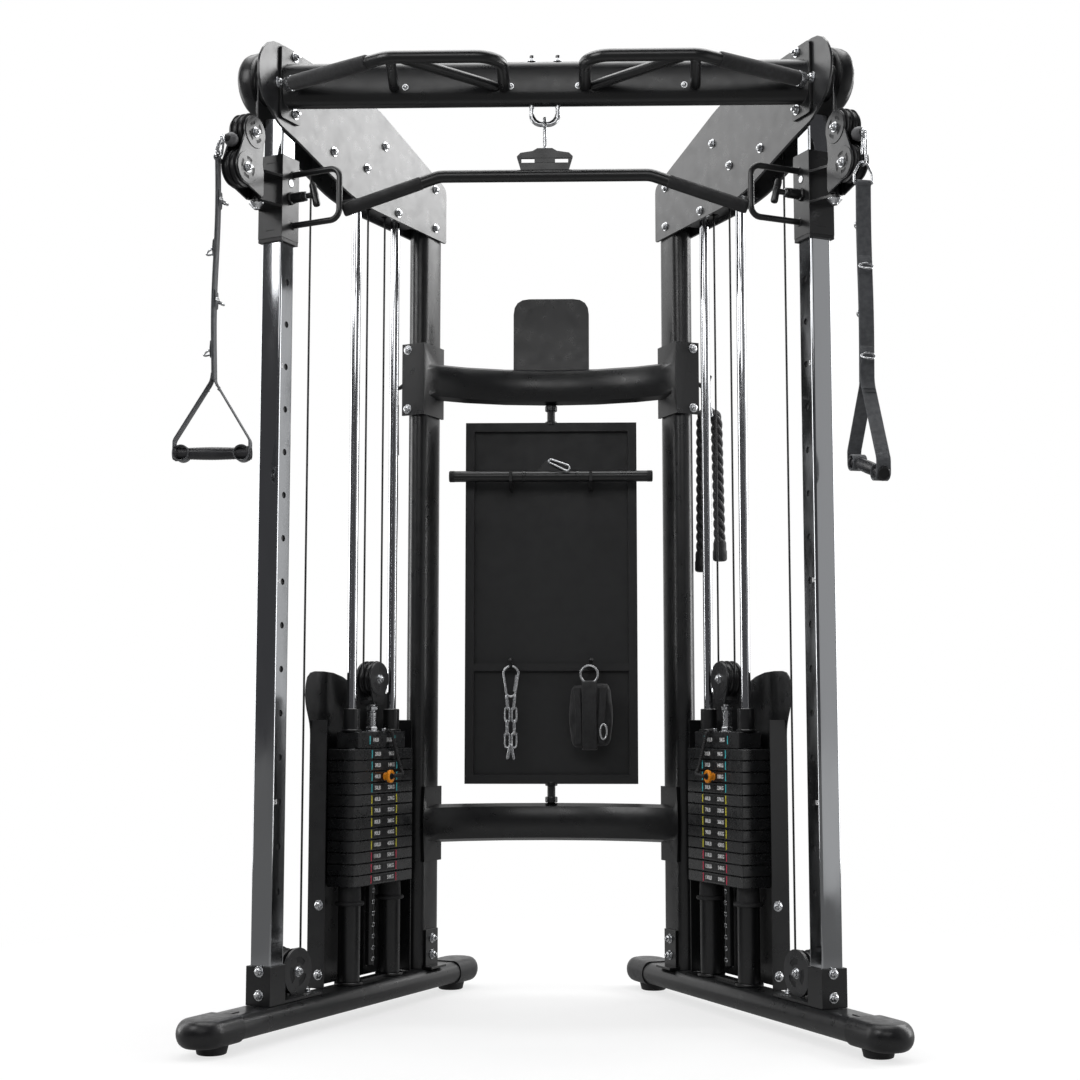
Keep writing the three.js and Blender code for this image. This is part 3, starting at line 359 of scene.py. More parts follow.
def full_turn(count):
    """Angles evenly round a circle."""
    return [math.tau * k / count for k in range(count)]


def wall(mesh, low, high):
    """Four-sided faces between two closed rings with as many points each."""
    count = len(low)
    return [mesh.faces.new([low[i], low[(i + 1) % count], high[(i + 1) % count], high[i]])
            for i in range(count)]


class Piece:
    """Collects one piece's faces, in millimetres, and puts it in the scene."""

    def __init__(self, *materials):
        self.mesh = bmesh.new()
        self.materials = materials
        self.paint = 0

    def coat(self, faces):
        for face in faces:
            face.material_index = self.paint

    def use(self, index):
        self.paint = index
        return self

    def box(self, low, high):
        low, high = Vector(low), Vector(high)
        place = Matrix.Translation((low + high) / 2) @ Matrix.Diagonal((*(high - low), 1))
        made = bmesh.ops.create_cube(self.mesh, size=1, matrix=place)
        self.coat({f for v in made["verts"] for f in v.link_faces})
        return self

    def turned(self, at, direction, profile, sides=40):
        """A lathe form: profile is (radius, height) pairs along the direction."""
        place = Matrix.Translation(Vector(at)) @ turn_to(direction)
        rings = []
        for radius, height in profile:
            count = 1 if radius < 1e-6 else sides
            rings.append([
                self.mesh.verts.new(place @ Vector((
                    radius * math.cos(math.tau * i / sides), radius * math.sin(math.tau * i / sides),
                    height)))
                for i in range(count)])
        made = []
        for low, high in zip(rings, rings[1:]):
            for i in range(sides):
                j = (i + 1) % sides
                corners = [low[i % len(low)], low[j % len(low)], high[j % len(high)], high[i % len(high)]]
                corners = list(dict.fromkeys(corners))
                if len(corners) > 2:
                    made.append(self.mesh.faces.new(corners))
        self.coat(made)
        return self

    def rod(self, at, direction, low, high, radius, chamfer=0.8, sides=32):
        chamfer = min(chamfer, radius * 0.4, (high - low) * 0.4)
        return self.turned(at, direction, [
            (0, low), (radius - chamfer, low), (radius, low + chamfer),
            (radius, high - chamfer), (radius - chamfer, high), (0, high)], sides)

    def ring(self, at, direction, low, high, radius, inner, chamfer=0.6, sides=32):
        return self.turned(at, direction, [
            (inner, low), (radius - chamfer, low), (radius, low + chamfer), (radius, high - chamfer),
            (radius - chamfer, high), (inner, high), (inner, low)], sides)

    def ball(self, at, radius):
        steps = 16
        profile = [(radius * math.sin(math.pi * i / steps), -radius * math.cos(math.pi * i / steps))
                   for i in range(steps + 1)]
        profile[0], profile[-1] = (0, profile[0][1]), (0, profile[-1][1])
        return self.turned(at, UP, profile, 32)

    def tube(self, points, radius, sides=16, closed=False):
        """A round bar along points; radius is one number or one for each point."""
        points = [Vector(p) for p in points]
        count = len(points)
        radii = radius if hasattr(radius, "__len__") else [radius] * count
        tangents = []
        for i in range(count):
            before = points[i - 1] if i or closed else points[0]
            after = points[(i + 1) % count] if i + 1 < count or closed else points[-1]
            tangents.append((after - before).normalized())
        normal = tangents[0].orthogonal().normalized()
        rings = []
        for i, (point, tangent) in enumerate(zip(points, tangents)):
            if i:
                normal = tangents[i - 1].rotation_difference(tangent) @ normal
            normal = (normal - tangent * normal.dot(tangent)).normalized()
            other = tangent.cross(normal)
            rings.append([
                self.mesh.verts.new(point + (normal * math.cos(a) + other * math.sin(a)) * radii[i])
                for a in full_turn(sides)])
        made = []
        pairs = list(zip(rings, rings[1:]))
        if closed:
            # the frame may come back turned, so the last ring is met at its nearest start
            last, first = rings[-1], rings[0]
            shift = min(range(sides), key=lambda k: (last[0].co - first[k].co).length)
            pairs.append((last, first[shift:] + first[:shift]))
        for low, high in pairs:
            made += wall(self.mesh, low, high)
        if not closed:
            made.append(self.mesh.faces.new(rings[0][::-1]))
            made.append(self.mesh.faces.new(rings[-1]))
        self.coat(made)
        return self

    def strip(self, points, across, width, thickness, closed=False):
        """A flat band along points, its width in the direction across."""
        points = [Vector(p) for p in points]
        across = Vector(across).normalized()
        rings, count = [], len(points)
        edge = min(thickness * 0.45, width * 0.1)
        half, deep = width / 2, thickness / 2
        outline = [(-half, -deep + edge), (-half + edge, -deep), (half - edge, -deep), (half, -deep + edge),
                   (half, deep - edge), (half - edge, deep), (-half + edge, deep), (-half, deep - edge)]
        for i, point in enumerate(points):
            before = points[i - 1] if i or closed else points[0]
            after = points[(i + 1) % count] if i + 1 < count or closed else points[-1]
            out = (after - before).normalized().cross(across).normalized()
            rings.append([self.mesh.verts.new(point + across * a + out * b) for a, b in outline])
        made = []
        pairs = list(zip(rings, rings[1:])) + ([(rings[-1], rings[0])] if closed else [])
        for low, high in pairs:
            made += wall(self.mesh, low, high)
        if not closed:
            made += [self.mesh.faces.new(rings[0][::-1]), self.mesh.faces.new(rings[-1])]
        self.coat(made)
        return self

    def plate(self, outline, low, high, axis="x"):
        """A flat sheet with that outline: (y, z) pairs for axis x, (x, z) for y, (x, y) for z."""
        spots = {"x": lambda p, t: (t, p[0], p[1]), "y": lambda p, t: (p[0], t, p[1]),
                 "z": lambda p, t: (p[0], p[1], t)}[axis]
        bottom = [self.mesh.verts.new(spots(p, low)) for p in outline]
        top = [self.mesh.verts.new(spots(p, high)) for p in outline]
        made = [self.mesh.faces.new(bottom[::-1]), self.mesh.faces.new(top)]
        self.coat(made + wall(self.mesh, bottom, top))
        return self

    def slotted_disc(self, at, radius, low, high, slots=3, start=0, inner=0.42, outer=0.72, span=62):
        """A disc facing x, with arc slots right through it."""
        at, steps = Vector(at), 72
        radii = [radius * 0.1, radius * inner, radius * outer, radius]
        grid = [[self.mesh.verts.new(at + Vector((low, r * math.cos(math.tau * i / steps),
                                                  r * math.sin(math.tau * i / steps))))
                 for i in range(steps)] for r in radii]
        kept = []
        for band in range(3):
            for i in range(steps):
                turn = (i * 360 / steps - start) % (360 / slots)
                if band == 1 and turn < span:
                    continue
                j = (i + 1) % steps
                kept.append(self.mesh.faces.new([grid[band][i], grid[band][j], grid[band + 1][j],
                                                 grid[band + 1][i]]))
        kept.append(self.mesh.faces.new(grid[0][::-1]))
        made = bmesh.ops.extrude_face_region(self.mesh, geom=kept, use_keep_orig=True)["geom"]
        moved = [v for v in made if isinstance(v, bmesh.types.BMVert)]
        bmesh.ops.translate(self.mesh, vec=(high - low, 0, 0), verts=moved)
        faces = {f for v in moved for f in v.link_faces} | set(kept)
        self.coat(faces)
        return self

    def lettering(self, words, place, size, depth=0.25):
        """Raised figures: place takes their own x to the reading direction and z outwards."""
        curve = bpy.data.curves.new("figures", "FONT")
        curve.body, curve.size, curve.extrude, curve.offset = words, size, depth, 0.35
        curve.align_x, curve.align_y, curve.resolution_u = "CENTER", "CENTER", 2
        holder = bpy.data.objects.new("figures", curve)
        shape = holder.to_mesh()
        before = len(self.mesh.verts)
        faces = len(self.mesh.faces)
        self.mesh.from_mesh(shape)
        self.mesh.verts.ensure_lookup_table()
        self.mesh.faces.ensure_lookup_table()
        for vertex in self.mesh.verts[before:]:
            vertex.co = place @ vertex.co
        self.coat(self.mesh.faces[faces:])
        holder.to_mesh_clear()
        bpy.data.objects.remove(holder)
        bpy.data.curves.remove(curve)
        return self

    def done(self, name, body, place, slot, nodes=(), bevel=0.0, smooth=38, blend=None):
        self.mesh.transform(place)
        bmesh.ops.recalc_face_normals(self.mesh, faces=self.mesh.faces)
        return finish_mesh(name, self.mesh, self.materials, body, nodes, bevel, smooth, blend)


def finish_mesh(name, mesh, materials, body, nodes, bevel, smooth, blend=None):
    for face in mesh.faces:
        face.smooth = True
    for edge in mesh.edges:
        edge.smooth = len(edge.link_faces) == 2 and edge.calc_face_angle(3.0) < math.radians(smooth)
    data = bpy.data.meshes.new(name)
    mesh.to_mesh(data)
    mesh.free()
    for material in materials:
        data.materials.append(material)
    piece = bpy.data.objects.new(name, data)
    bpy.context.scene.collection.objects.link(piece)
    if bevel:
        softening = piece.modifiers.new("edges", "BEVEL")
        softening.width, softening.segments = bevel * MM, 2
        softening.limit_method, softening.angle_limit = "ANGLE", math.radians(50)
        softening.harden_normals = True
    if nodes:
        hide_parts(*nodes)
    if blend:
        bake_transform(piece)
    else:
        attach(piece, body)
    return piece


def dress(node, material, bevel=0.9, smooth=40, reshape=None):
    """The CAD node's own shape with its flats joined, edges softened and rounds shaded smooth."""
    mesh = bmesh.new()
    mesh.from_mesh(frame["nodes"][node].data)
    if reshape:
        for vertex in mesh.verts:
            vertex.co = reshape(vertex.co)
    bmesh.ops.remove_doubles(mesh, verts=mesh.verts, dist=2e-5)
    bmesh.ops.dissolve_degenerate(mesh, dist=2e-5, edges=mesh.edges)
    bmesh.ops.dissolve_limit(mesh, angle_limit=math.radians(0.6), verts=mesh.verts, edges=mesh.edges)
    bmesh.ops.recalc_face_normals(mesh, faces=mesh.faces)
    for face in mesh.faces:
        face.material_index = 0
    return finish_mesh(f"{node}_finish", mesh, [material], BODY_OF[node],
                       [node], bevel, smooth)


def bolt(piece, at, direction, size=8.5, stud=7.0):
    """A washer and a hexagonal nut or head, with a domed cap or the thread's end on it."""
    thick = size * 0.75
    piece.ring(at, direction, 0, 1.6, size * 1.4, size * 0.5, 0.4, 28)
    piece.turned(at, direction, [(0, 1.6), (size * 1.0, 1.6), (size * 1.08, 2.4), (size * 1.08, thick),
                                 (0, thick)], 6)
    dome = [(size * 0.98 * math.cos(math.radians(a)), thick + size * 0.42 * math.sin(math.radians(a)))
            for a in range(0, 90, 15)]
    piece.turned(at, direction, [(0, thick - 0.5), (size * 0.98, thick - 0.5), *dome,
                                 (0, thick + size * 0.42)], 24)
    if stud:
        piece.rod(at, direction, thick, thick + 1.8 + stud, size * 0.5, 1.0, 16)


# ------------------------------------------------------------------ one side: frame
def sheave(side, node, centre, radius, width, grooves, name):
    """A grooved pulley with a boss; its grooves are spread evenly over its width."""
    piece = Piece(NYLON, ZINC)
    half = width / 2
    floor = radius - 6.5
    pitch = width / grooves
    profile = [(9, -half - 1), (16, -half - 1), (17, -half), (radius - 2.4, -half), (radius, -half + 1.2)]
    for i in range(grooves):
        middle = -half + pitch * (i + 0.5)
        for step in range(-4, 5):
            angle = math.radians(step * 22.5)
            profile.append((floor + 3.4 - 3.4 * math.cos(angle) + abs(step) ** 2 * 0.19,
                            middle + (pitch / 2 - 1.7) * math.sin(angle)))
        if i + 1 < grooves:
            profile += [(radius - 0.6, middle + pitch / 2 - 1.2), (radius - 0.6, middle + pitch / 2 + 1.2)]
    profile += [(radius, half - 1.2), (radius - 2.4, half), (17, half), (16, half + 1), (9, half + 1),
                (9, -half - 1)]
    piece.turned(centre, ALONG_X, profile, 56)
    piece.use(1).ring(centre, ALONG_X, -half - 1.4, half + 1.4, 9.4, 6.2, 0.5, 24)
    piece.done(name, BODY_OF[node], SIDE_FRAME[side], SLOT_OF[node], [node])


def front_upright(side):
    """Chromed square tube; its inner face has the row of pin holes with a number at every fifth. A black disc just
    inside each hole is painted shade for the tube's dark hollow.
    """
    piece = Piece(CHROME, LABEL_AND_SHADE, WHITE_INK)
    half, corner, steps = UPRIGHT / 2, 5, 6
    flat = half - corner
    outline = []
    for quarter, (cx, cy) in enumerate([(flat, flat), (-flat, flat), (-flat, -flat), (flat, -flat)]):
        for i in range(steps + 1):
            angle = math.radians(90 * (quarter + i / steps))
            outline.append((cx + corner * math.cos(angle), cy + corner * math.sin(angle)))
    mesh = piece.mesh
    cells = [PIN_Z - i * HOLE_PITCH for i in range(HOLE_COUNT)][::-1]
    rings = [[mesh.verts.new((x, y, z)) for x, y in outline] for z in (UPRIGHT_LOW, UPRIGHT_TOP)]
    count = len(outline)
    for i in range(count - 1):
        mesh.faces.new([rings[0][i], rings[0][i + 1], rings[1][i + 1], rings[1][i]])
    mesh.faces.new(rings[0][::-1])
    mesh.faces.new(rings[1])
    drill_face(mesh, half, flat, cells, UPRIGHT_LOW, UPRIGHT_TOP)
    # Painted shade: a black disc set just inside each pin hole stands for the dark hollow of the tube.
    piece.use(1)
    for z in cells:
        piece.turned((half, 0, z), (-1, 0, 0), [
            (HOLE_RADIUS, UPRIGHT_WALL), (HOLE_RADIUS, UPRIGHT_WALL + 0.4), (0, UPRIGHT_WALL + 0.4)], 24)
    piece.use(2)
    for i in range(4, HOLE_COUNT, 5):
        place = Matrix.Translation((half + 0.1, -14, PIN_Z - i * HOLE_PITCH)) @ reading(side)
        piece.lettering(str(i + 1), place, 13, 0.12)
    piece.done(f"{side}_upright_tube", "root", SIDE_FRAME[side], "chrome", [f"{side}_front_upright"])


def reading(side):
    """Turns figures to stand upright on an inner face, read from inside the machine."""
    return Matrix((Vector((0, 1 if side == "left" else -1, 0)), UP, Vector((1, 0, 0)))).transposed().to_4x4()


def drill_face(mesh, x, flat, cells, low, high):
    """The flat face between the tube's rounded corners, with a round hole at each height."""
    edges = [low] + [(a + b) / 2 for a, b in zip(cells, cells[1:])] + [high]
    for middle, bottom, top in zip(cells, edges, edges[1:]):
        corners = [math.atan2(z - middle, y) % math.tau for y in (-flat, flat) for z in (bottom, top)]
        angles = sorted(corners + [math.tau * i / 24 + 0.01 for i in range(24)])
        inner, rim, outer = [], [], []
        for angle in angles:
            c, s = math.cos(angle), math.sin(angle)
            reach = min(flat / abs(c) if abs(c) > 1e-9 else 1e9,
                        ((top - middle) if s > 0 else (middle - bottom)) / abs(s) if abs(s) > 1e-9 else 1e9)
            outer.append(mesh.verts.new((x, c * reach, middle + s * reach)))
            rim.append(mesh.verts.new((x, c * HOLE_RADIUS, middle + s * HOLE_RADIUS)))
            inner.append(mesh.verts.new((x - UPRIGHT_WALL, c * HOLE_RADIUS, middle + s * HOLE_RADIUS)))
        for i in range(len(angles)):
            j = (i + 1) % len(angles)
            mesh.faces.new([rim[i], outer[i], outer[j], rim[j]])
            mesh.faces.new([inner[i], rim[i], rim[j], inner[j]])


def base_rail(side):
    """Flat-oval tube with a moulded, round-nosed cap and a rubber foot at each end."""
    piece = Piece(BLACK, NYLON, RUBBER)
    middle = RAIL_TOP - RAIL_HALF
    rings = []
    for y in (RAIL_FRONT + 96, RAIL_REAR - 96):
        ring = []
        for k in range(48):
            a = math.tau * k / 48
            ring.append(piece.mesh.verts.new(
                (math.copysign(RAIL_HALF, math.cos(a)) + RAIL_HALF * math.cos(a), y,
                 middle + RAIL_HALF * math.sin(a))))
        rings.append(ring)
    piece.coat(wall(piece.mesh, *rings))
    for nose, way, foot in ((RAIL_FRONT, 1, FRONT_FOOT_Y), (RAIL_REAR, -1, REAR_FOOT_Y)):
        rail_cap(piece.use(1), nose, way, middle)
        piece.use(2).turned((0, foot, 0), UP, [
            (0, 0), (27, 0), (29.5, 1.5), (31, 8), (33, 16), (34.5, 19), (34.5, 22), (0, 22)], 40)
    piece.use(1).box((-9, RAIL_FRONT + 128, RAIL_TOP - 1), (9, RAIL_FRONT + 158, RAIL_TOP + 1.5))
    piece.done(f"{side}_rail", "root", SIDE_FRAME[side], "black_paint", [f"{side}_base_rail"])


def rail_cap(piece, nose, way, middle):
    """Cap with a half-round nose and rounded upper and lower edges, a little bigger than the tube."""
    wide, tall, steps = 52, 27.5, 12
    skirt, lip = nose + way * 118, nose + way * 122
    rings = []
    for i in range(steps + 1):
        tilt = math.radians(-90 + 180 * i / steps)
        inset = 21 * (1 - math.cos(tilt))
        z = middle + tall * math.sin(tilt)
        radius = wide - inset
        ring = [(-radius, lip, z), (-radius, skirt, z)]
        centre = nose + way * wide
        for k in range(25):
            a = math.pi * (1 + k / 24)
            ring.append((radius * math.cos(a), centre + way * radius * math.sin(a), z))
        ring += [(radius, skirt, z), (radius, lip, z)]
        rings.append([piece.mesh.verts.new(p) for p in ring])
    made = [piece.mesh.faces.new(rings[0]), piece.mesh.faces.new(rings[-1][::-1])]
    for a, b in zip(rings, rings[1:]):
        made += wall(piece.mesh, a, b)
    piece.coat(made)


def guide_rods(side):
    low, high = heights(f"{side}_guide_rod_front")
    for word, sign in (("front", -1), ("rear", 1)):
        rod = Piece(ROD_CHROME).rod((0, STACK_Y + sign * ROD_SPREAD, 0), UP, low, high, ROD_RADIUS, 1.0, 36)
        rod.done(f"{side}_{word}_rod", "root", SIDE_FRAME[side], "chrome", [f"{side}_guide_rod_{word}"])


def stack_risers(side):
    piece = Piece(BLACK, RUBBER)
    base = [(-12, STACK_Y - 60), (12, STACK_Y - 60), (12, STACK_Y + 60), (-12, STACK_Y + 60)]
    piece.plate(base, RAIL_TOP + 0.3, RAIL_TOP + PLATE + 0.3, "z")
    for sign in (-1, 1):
        at = (0, STACK_Y + sign * ROD_SPREAD, 0)
        floor = RAIL_TOP + 0.3
        piece.use(0).ring(at, UP, floor, floor + PLATE, 32, ROD_RADIUS + 1, 1, 40)
        piece.ring(at, UP, floor + PLATE, STACK_LOW - 36, 25, ROD_RADIUS + 1, 0.5, 40)
        piece.use(1).turned(at, UP, [
            (ROD_RADIUS + 1, STACK_LOW - 42), (31, STACK_LOW - 42), (33, STACK_LOW - 40),
            (33, STACK_LOW - 36), (31, STACK_LOW - 34), (26, STACK_LOW - 33), (25, STACK_LOW - 2),
            (23.5, STACK_LOW - 0.4), (ROD_RADIUS + 1, STACK_LOW - 0.4), (ROD_RADIUS + 1, STACK_LOW - 42)], 40)
    piece.done(f"{side}_risers", "root", SIDE_FRAME[side], "riser_rubber", [f"{side}_stack_base"])


# ------------------------------------------------------------------ one side: weight stack
def stack_plate(piece, half_length, half_width, low, high):
    """One weight plate with its long edges chamfered."""
    cut, x, y = 1.6, half_width, half_length
    outline = [(-x + 2, -y), (x - 2, -y), (x, -y + 2), (x, y - 2),
               (x - 2, y), (-x + 2, y), (-x, y - 2), (-x, -y + 2)]
    mesh = piece.mesh
    rings = []
    for z, shrink in ((low, cut), (low + cut, 0), (high - cut, 0), (high, cut)):
        rings.append([
            mesh.verts.new((a - math.copysign(shrink, a), STACK_Y + b - math.copysign(shrink, b), z))
            for a, b in outline])
    made = [mesh.faces.new(rings[0][::-1]), mesh.faces.new(rings[-1])]
    for a, b in zip(rings, rings[1:]):
        made += wall(mesh, a, b)
    piece.coat(made)


def plate_label(piece, side, face, middle, row):
    """Dark inlay with the plate's two numbers, its pin hole drawn as a dark disc of painted shade, and the load
    band's colour.
    """
    z, n = middle, face
    piece.use(1).box((n - 0.3, STACK_Y - 50, z - 8.4), (n + 0.25, STACK_Y + 50, z + 8.4))
    band = 2 + (0 if row < 5 else 1 if row < 10 else 2)
    piece.use(band)
    for y in (-53, 53):
        piece.box((n - 0.3, STACK_Y + y - 1.6, z - 9.2), (n + 0.4, STACK_Y + y + 1.6, z + 9.2))
    # Painted shade: the pin hole is drawn as a solid dark disc standing for the hole's shaded inside.
    piece.use(5).rod((n + 0.2, STACK_Y, z), ALONG_X, -6, 0.5, 6.2, 0.2, 28)
    way = 1 if side == "left" else -1
    piece.use(6)
    pounds = POUND_STEP * (row + 1)
    for y, words in ((-29, f"{pounds}LB"), (29, f"{round(pounds * KG_PER_POUND)}KG")):
        place = Matrix.Translation((n + 0.35, STACK_Y + way * y, z)) @ reading(side)
        piece.lettering(words, place, 12, 0.15)


def stack_materials():
    return (IRON, LABEL_AND_SHADE, *BAND_INKS, NYLON, WHITE_INK)


def plate_pile(piece, side, low, count, lowest_row):
    """Plates from the lowest upwards; the row numbers count down towards the head plate."""
    for i in range(count):
        base = low + i * PLATE_PITCH
        stack_plate(piece.use(0), PLATE_LENGTH / 2, PLATE_WIDTH / 2, base, base + PLATE_PITCH - PLATE_GAP)
        plate_label(piece, side, PLATE_WIDTH / 2, base + PLATE_PITCH / 2, lowest_row - i)


def weight_stack(side):
    place = SIDE_FRAME[side]
    low = Piece(*stack_materials())
    plate_pile(low, side, STACK_LOW, LOWER_COUNT, LOWER_COUNT + PICKED_COUNT)
    low.done(f"{side}_resting_plates", "root", place, "plate_iron", [f"{side}_lower_plates"])
    high = Piece(*stack_materials(), BLACK, ZINC)
    plate_pile(high, side, LOWER_TOP, PICKED_COUNT, PICKED_COUNT)
    stack_plate(high.use(0), HEAD_LENGTH / 2, HEAD_WIDTH / 2, PICKED_TOP, PICKED_TOP + HEAD_HEIGHT)
    plate_label(high, side, HEAD_WIDTH / 2, PICKED_TOP + HEAD_HEIGHT / 2, 0)
    top = PICKED_TOP + HEAD_HEIGHT
    for sign in (-1, 1):
        at = (0, STACK_Y + sign * ROD_SPREAD, 0)
        high.use(7).ring(at, UP, top, top + 52, 19, ROD_RADIUS + 0.6, 1.4, 36)
        high.ring(at, UP, top, top + 5, 22.5, ROD_RADIUS + 0.6, 1.2, 36)
    selector_rod(high)
    high.done(f"{side}_picked_plates", f"{side}_lifted_stack", place, "plate_iron", [f"{side}_lifted_plates"])


def selector_rod(piece):
    """Lower end of the drilled rod, with a countersink at every plate pitch.

    Only the part below the resting stack is drawn. The length inside the plates isn't.
    """
    foot = heights("left_lifted_plates")[0]
    piece.use(7).rod((0, STACK_Y, 0), UP, foot, STACK_LOW + 4, 10, 3, 28)
    z = foot + 16
    while z < STACK_LOW - 6:
        piece.use(8).turned((9.2, STACK_Y, z), ALONG_X,
                            [(6.2, -2.2), (6.2, 0.2), (3.6, 0.9), (3.6, -2)], 20)
        # Painted shade: a black disc in each countersink stands for the shaded bore of the drilled hole.
        piece.use(5).turned((9.0, STACK_Y, z), ALONG_X, [(3.7, 0.3), (0, 0.3)], 20)
        z += PLATE_PITCH


def selector_pin(side):
    face = PLATE_WIDTH / 2
    at = (0, STACK_Y, PICK_Z)
    pin = Piece(ORANGE, ZINC, NYLON)
    pin.use(1).rod(at, ALONG_X, -8, face + 4, 4, 1, 20)
    pin.use(0).turned(at, ALONG_X, [
        (0, face + 1), (8.5, face + 1), (9, face + 2), (7.4, face + 7), (7.6, face + 11), (14.5, face + 13),
        (15, face + 15), (14.6, face + 18.5), (12.6, face + 20), (9.4, face + 19), (0, face + 17.5)], 40)
    pin.use(2).turned(at, ALONG_X, [(0, face + 16), (7.2, face + 17), (7.4, face + 19.4),
                                      (6, face + 21), (0, face + 21)], 28)
    pin.done(f"{side}_pin_knob", f"{side}_selector_pin", SIDE_FRAME[side], "orange_plastic",
             [f"{side}_selector_pin"])
    top = PICKED_TOP + HEAD_HEIGHT
    start, end = Vector((20, STACK_Y + 22, top + 3)), Vector((face + 22, STACK_Y, PICK_Z))
    route = rounded([start, (face + 2, STACK_Y + 26, top + 1), (face + 14, STACK_Y + 44, PICK_Z + 20),
                     (face + 26, STACK_Y + 38, PICK_Z + 4), end], 10, 6)
    dense = resample(route, 2.2)
    radii = [4.2 + 0.5 * math.cos(math.pi * i) for i in range(len(dense))]
    lanyard = Piece(RUBBER, ZINC)
    lanyard.use(0).tube(dense, radii, 14)
    lanyard.use(1).ring(start, UP, -3, 4, 6, 3, 0.8, 20)
    body = f"{side}_lifted_stack", f"{side}_selector_pin"
    frame_ = SIDE_FRAME[side]
    lanyard.done(f"{side}_pin_lanyard", body[0], frame_, "black_rubber",
                 blend=(*body, frame_ @ start, frame_ @ (end + Vector((-4, 0, 4)))))


def resample(points, step):
    points = [Vector(p) for p in points]
    spans = [(b - a).length for a, b in zip(points, points[1:])]
    count = max(2, round(sum(spans) / step))
    out, i, done = [], 0, 0.0
    for k in range(count + 1):
        goal = sum(spans) * k / count
        while i < len(spans) - 1 and done + spans[i] < goal:
            done += spans[i]
            i += 1
        out.append(points[i].lerp(points[i + 1], min(1, (goal - done) / spans[i])))
    return out


def stack_pulley(side):
    piece = Piece(SHEET, ZINC, LABEL_AND_SHADE)
    low = PICKED_TOP + HEAD_HEIGHT
    for x, outwards in ((-19, -1), (15, 1)):
        outline = [(STACK_Y + 39 * math.cos(math.radians(a)), STACK_SHEAVE.z + 39 * math.sin(math.radians(a)))
                   for a in range(-30, 211, 8)]
        piece.use(0).plate(outline + [(STACK_Y - 20, 690), (STACK_Y + 20, 690)], x, x + 4)
        skin = (x - 1.6, x) if outwards < 0 else (x + 4, x + 5.6)
        # Partly painted shade: a black disc under each slotted skin shows in the slots in place of the dark sheave
        # and its shadow behind them.
        piece.use(2).rod((0, STACK_Y, STACK_SHEAVE.z), ALONG_X, min(skin) + 0.5, max(skin) - 0.5, 37,
                         0.1, 48)
        piece.use(0).slotted_disc((0, STACK_Y, STACK_SHEAVE.z), 38.5, *skin, slots=2, start=20, span=75)
        bolt(piece.use(1), (skin[0] if outwards < 0 else skin[1], STACK_Y, STACK_SHEAVE.z),
             (outwards, 0, 0), 8, 3)
    piece.use(0).box((-19, STACK_Y - 17, 690), (19, STACK_Y + 17, 699))
    at = (0, STACK_Y, 0)
    piece.use(1).rod(at, UP, low, 690, 8.2, 0.5, 28)
    piece.ring(at, UP, low + 10, 672, 10.5, 8, 1, 32)
    for z in (low + 1, 676):
        piece.turned(at, UP, [(0, z), (13, z), (14.6, z + 1.5), (14.6, z + 8), (13, z + 9.5),
                              (0, z + 9.5)], 6)
    piece.ring(at, UP, low, low + 1.6, 18, 8, 0.4, 32)
    piece.done(f"{side}_stack_yoke", f"{side}_lifted_stack", SIDE_FRAME[side], "black_paint",
               [f"{side}_stack_pulley_block"], 0.5)


# ------------------------------------------------------------------ one side: carriage
def carriage(side):
    half, bore = SLEEVE / 2, UPRIGHT / 2 + 0.5
    piece = Piece(BLACK, ZINC, NYLON, LABEL_AND_SHADE)
    corners = [(-half, -half), (half, -half), (half, half), (-half, half)]
    hollow = [(-bore, -bore), (bore, -bore), (bore, bore), (-bore, bore)]
    square_ring(piece.use(0), corners, hollow, SLEEVE_LOW + 8, SLEEVE_HIGH)
    square_ring(piece.use(2), [(x * 0.985, y * 0.985) for x, y in corners], hollow, SLEEVE_LOW,
                SLEEVE_LOW + 8)
    for z in (FLANGE_LOW, FLANGE_HIGH):
        tip = [(13, SWIVEL.y - 6), (8, SWIVEL.y - 12), (0, SWIVEL.y - 14), (-8, SWIVEL.y - 12),
               (-13, SWIVEL.y - 6)]
        piece.use(0).plate([(-half, -half + 0.5), (half, -half + 0.5), *tip], z, z + PLATE, "z")
    piece.box((-26, half - 2, SLEEVE_LOW + 6), (-10, 66, SLEEVE_LOW + 18))
    handle = rounded([(half - 2, 9, 1826), (150, 9, 1826), (150, 9, 1714), (half - 2, 9, 1714)], 22, 8)
    piece.tube(handle, 6.6, 20)
    for z in (1826, 1714):
        piece.ring((half, 9, z), ALONG_X, -0.5, 2.5, 9.5, 6, 1.5, 28)
    piece.ring((0, 0, PIN_Z), ALONG_X, half - 1, 64, 11, 7.5, 1.2, 32)
    piece.turned((0, 0, PIN_Z), ALONG_X, [(7.5, half), (15, half), (15, half + 5), (12, half + 7),
                                            (7.5, half + 7)], 6)
    for z in (1846, 1698):
        piece.use(3).box((-11, -half - 0.3, z - 1.2), (11, -half + 1, z + 1.2))
    # Painted light: a bright zinc disc inside a black ring stands for a hole through the sleeve with light showing
    # through it.
    piece.use(3).rod((half, 0, 1806), ALONG_X, -2, 0.3, 10, 0.2, 32)
    piece.use(1).rod((half, 1, 1806), ALONG_X, -2, 0.5, 7.6, 0.2, 28)
    piece.use(1)
    piece.turned((0, SWIVEL.y, FLANGE_LOW), (0, 0, -1),
                 [(7, 0.3), (16, 0.3), (16.5, 2.5), (9, 11), (7, 11), (7, 0.3)], 36)
    piece.done(f"{side}_carriage_sleeve", f"{side}_carriage", SIDE_FRAME[side], "black_paint",
               [f"{side}_carriage"], 0.9)


def square_ring(piece, outer, inner, low, high):
    mesh = piece.mesh
    loops = [[mesh.verts.new((x, y, z)) for x, y in shape] for shape, z in
             ((outer, low), (outer, high), (inner, high), (inner, low))]
    made = []
    for a, b in zip(loops, loops[1:] + loops[:1]):
        made += wall(mesh, a, b)
    piece.coat(made)


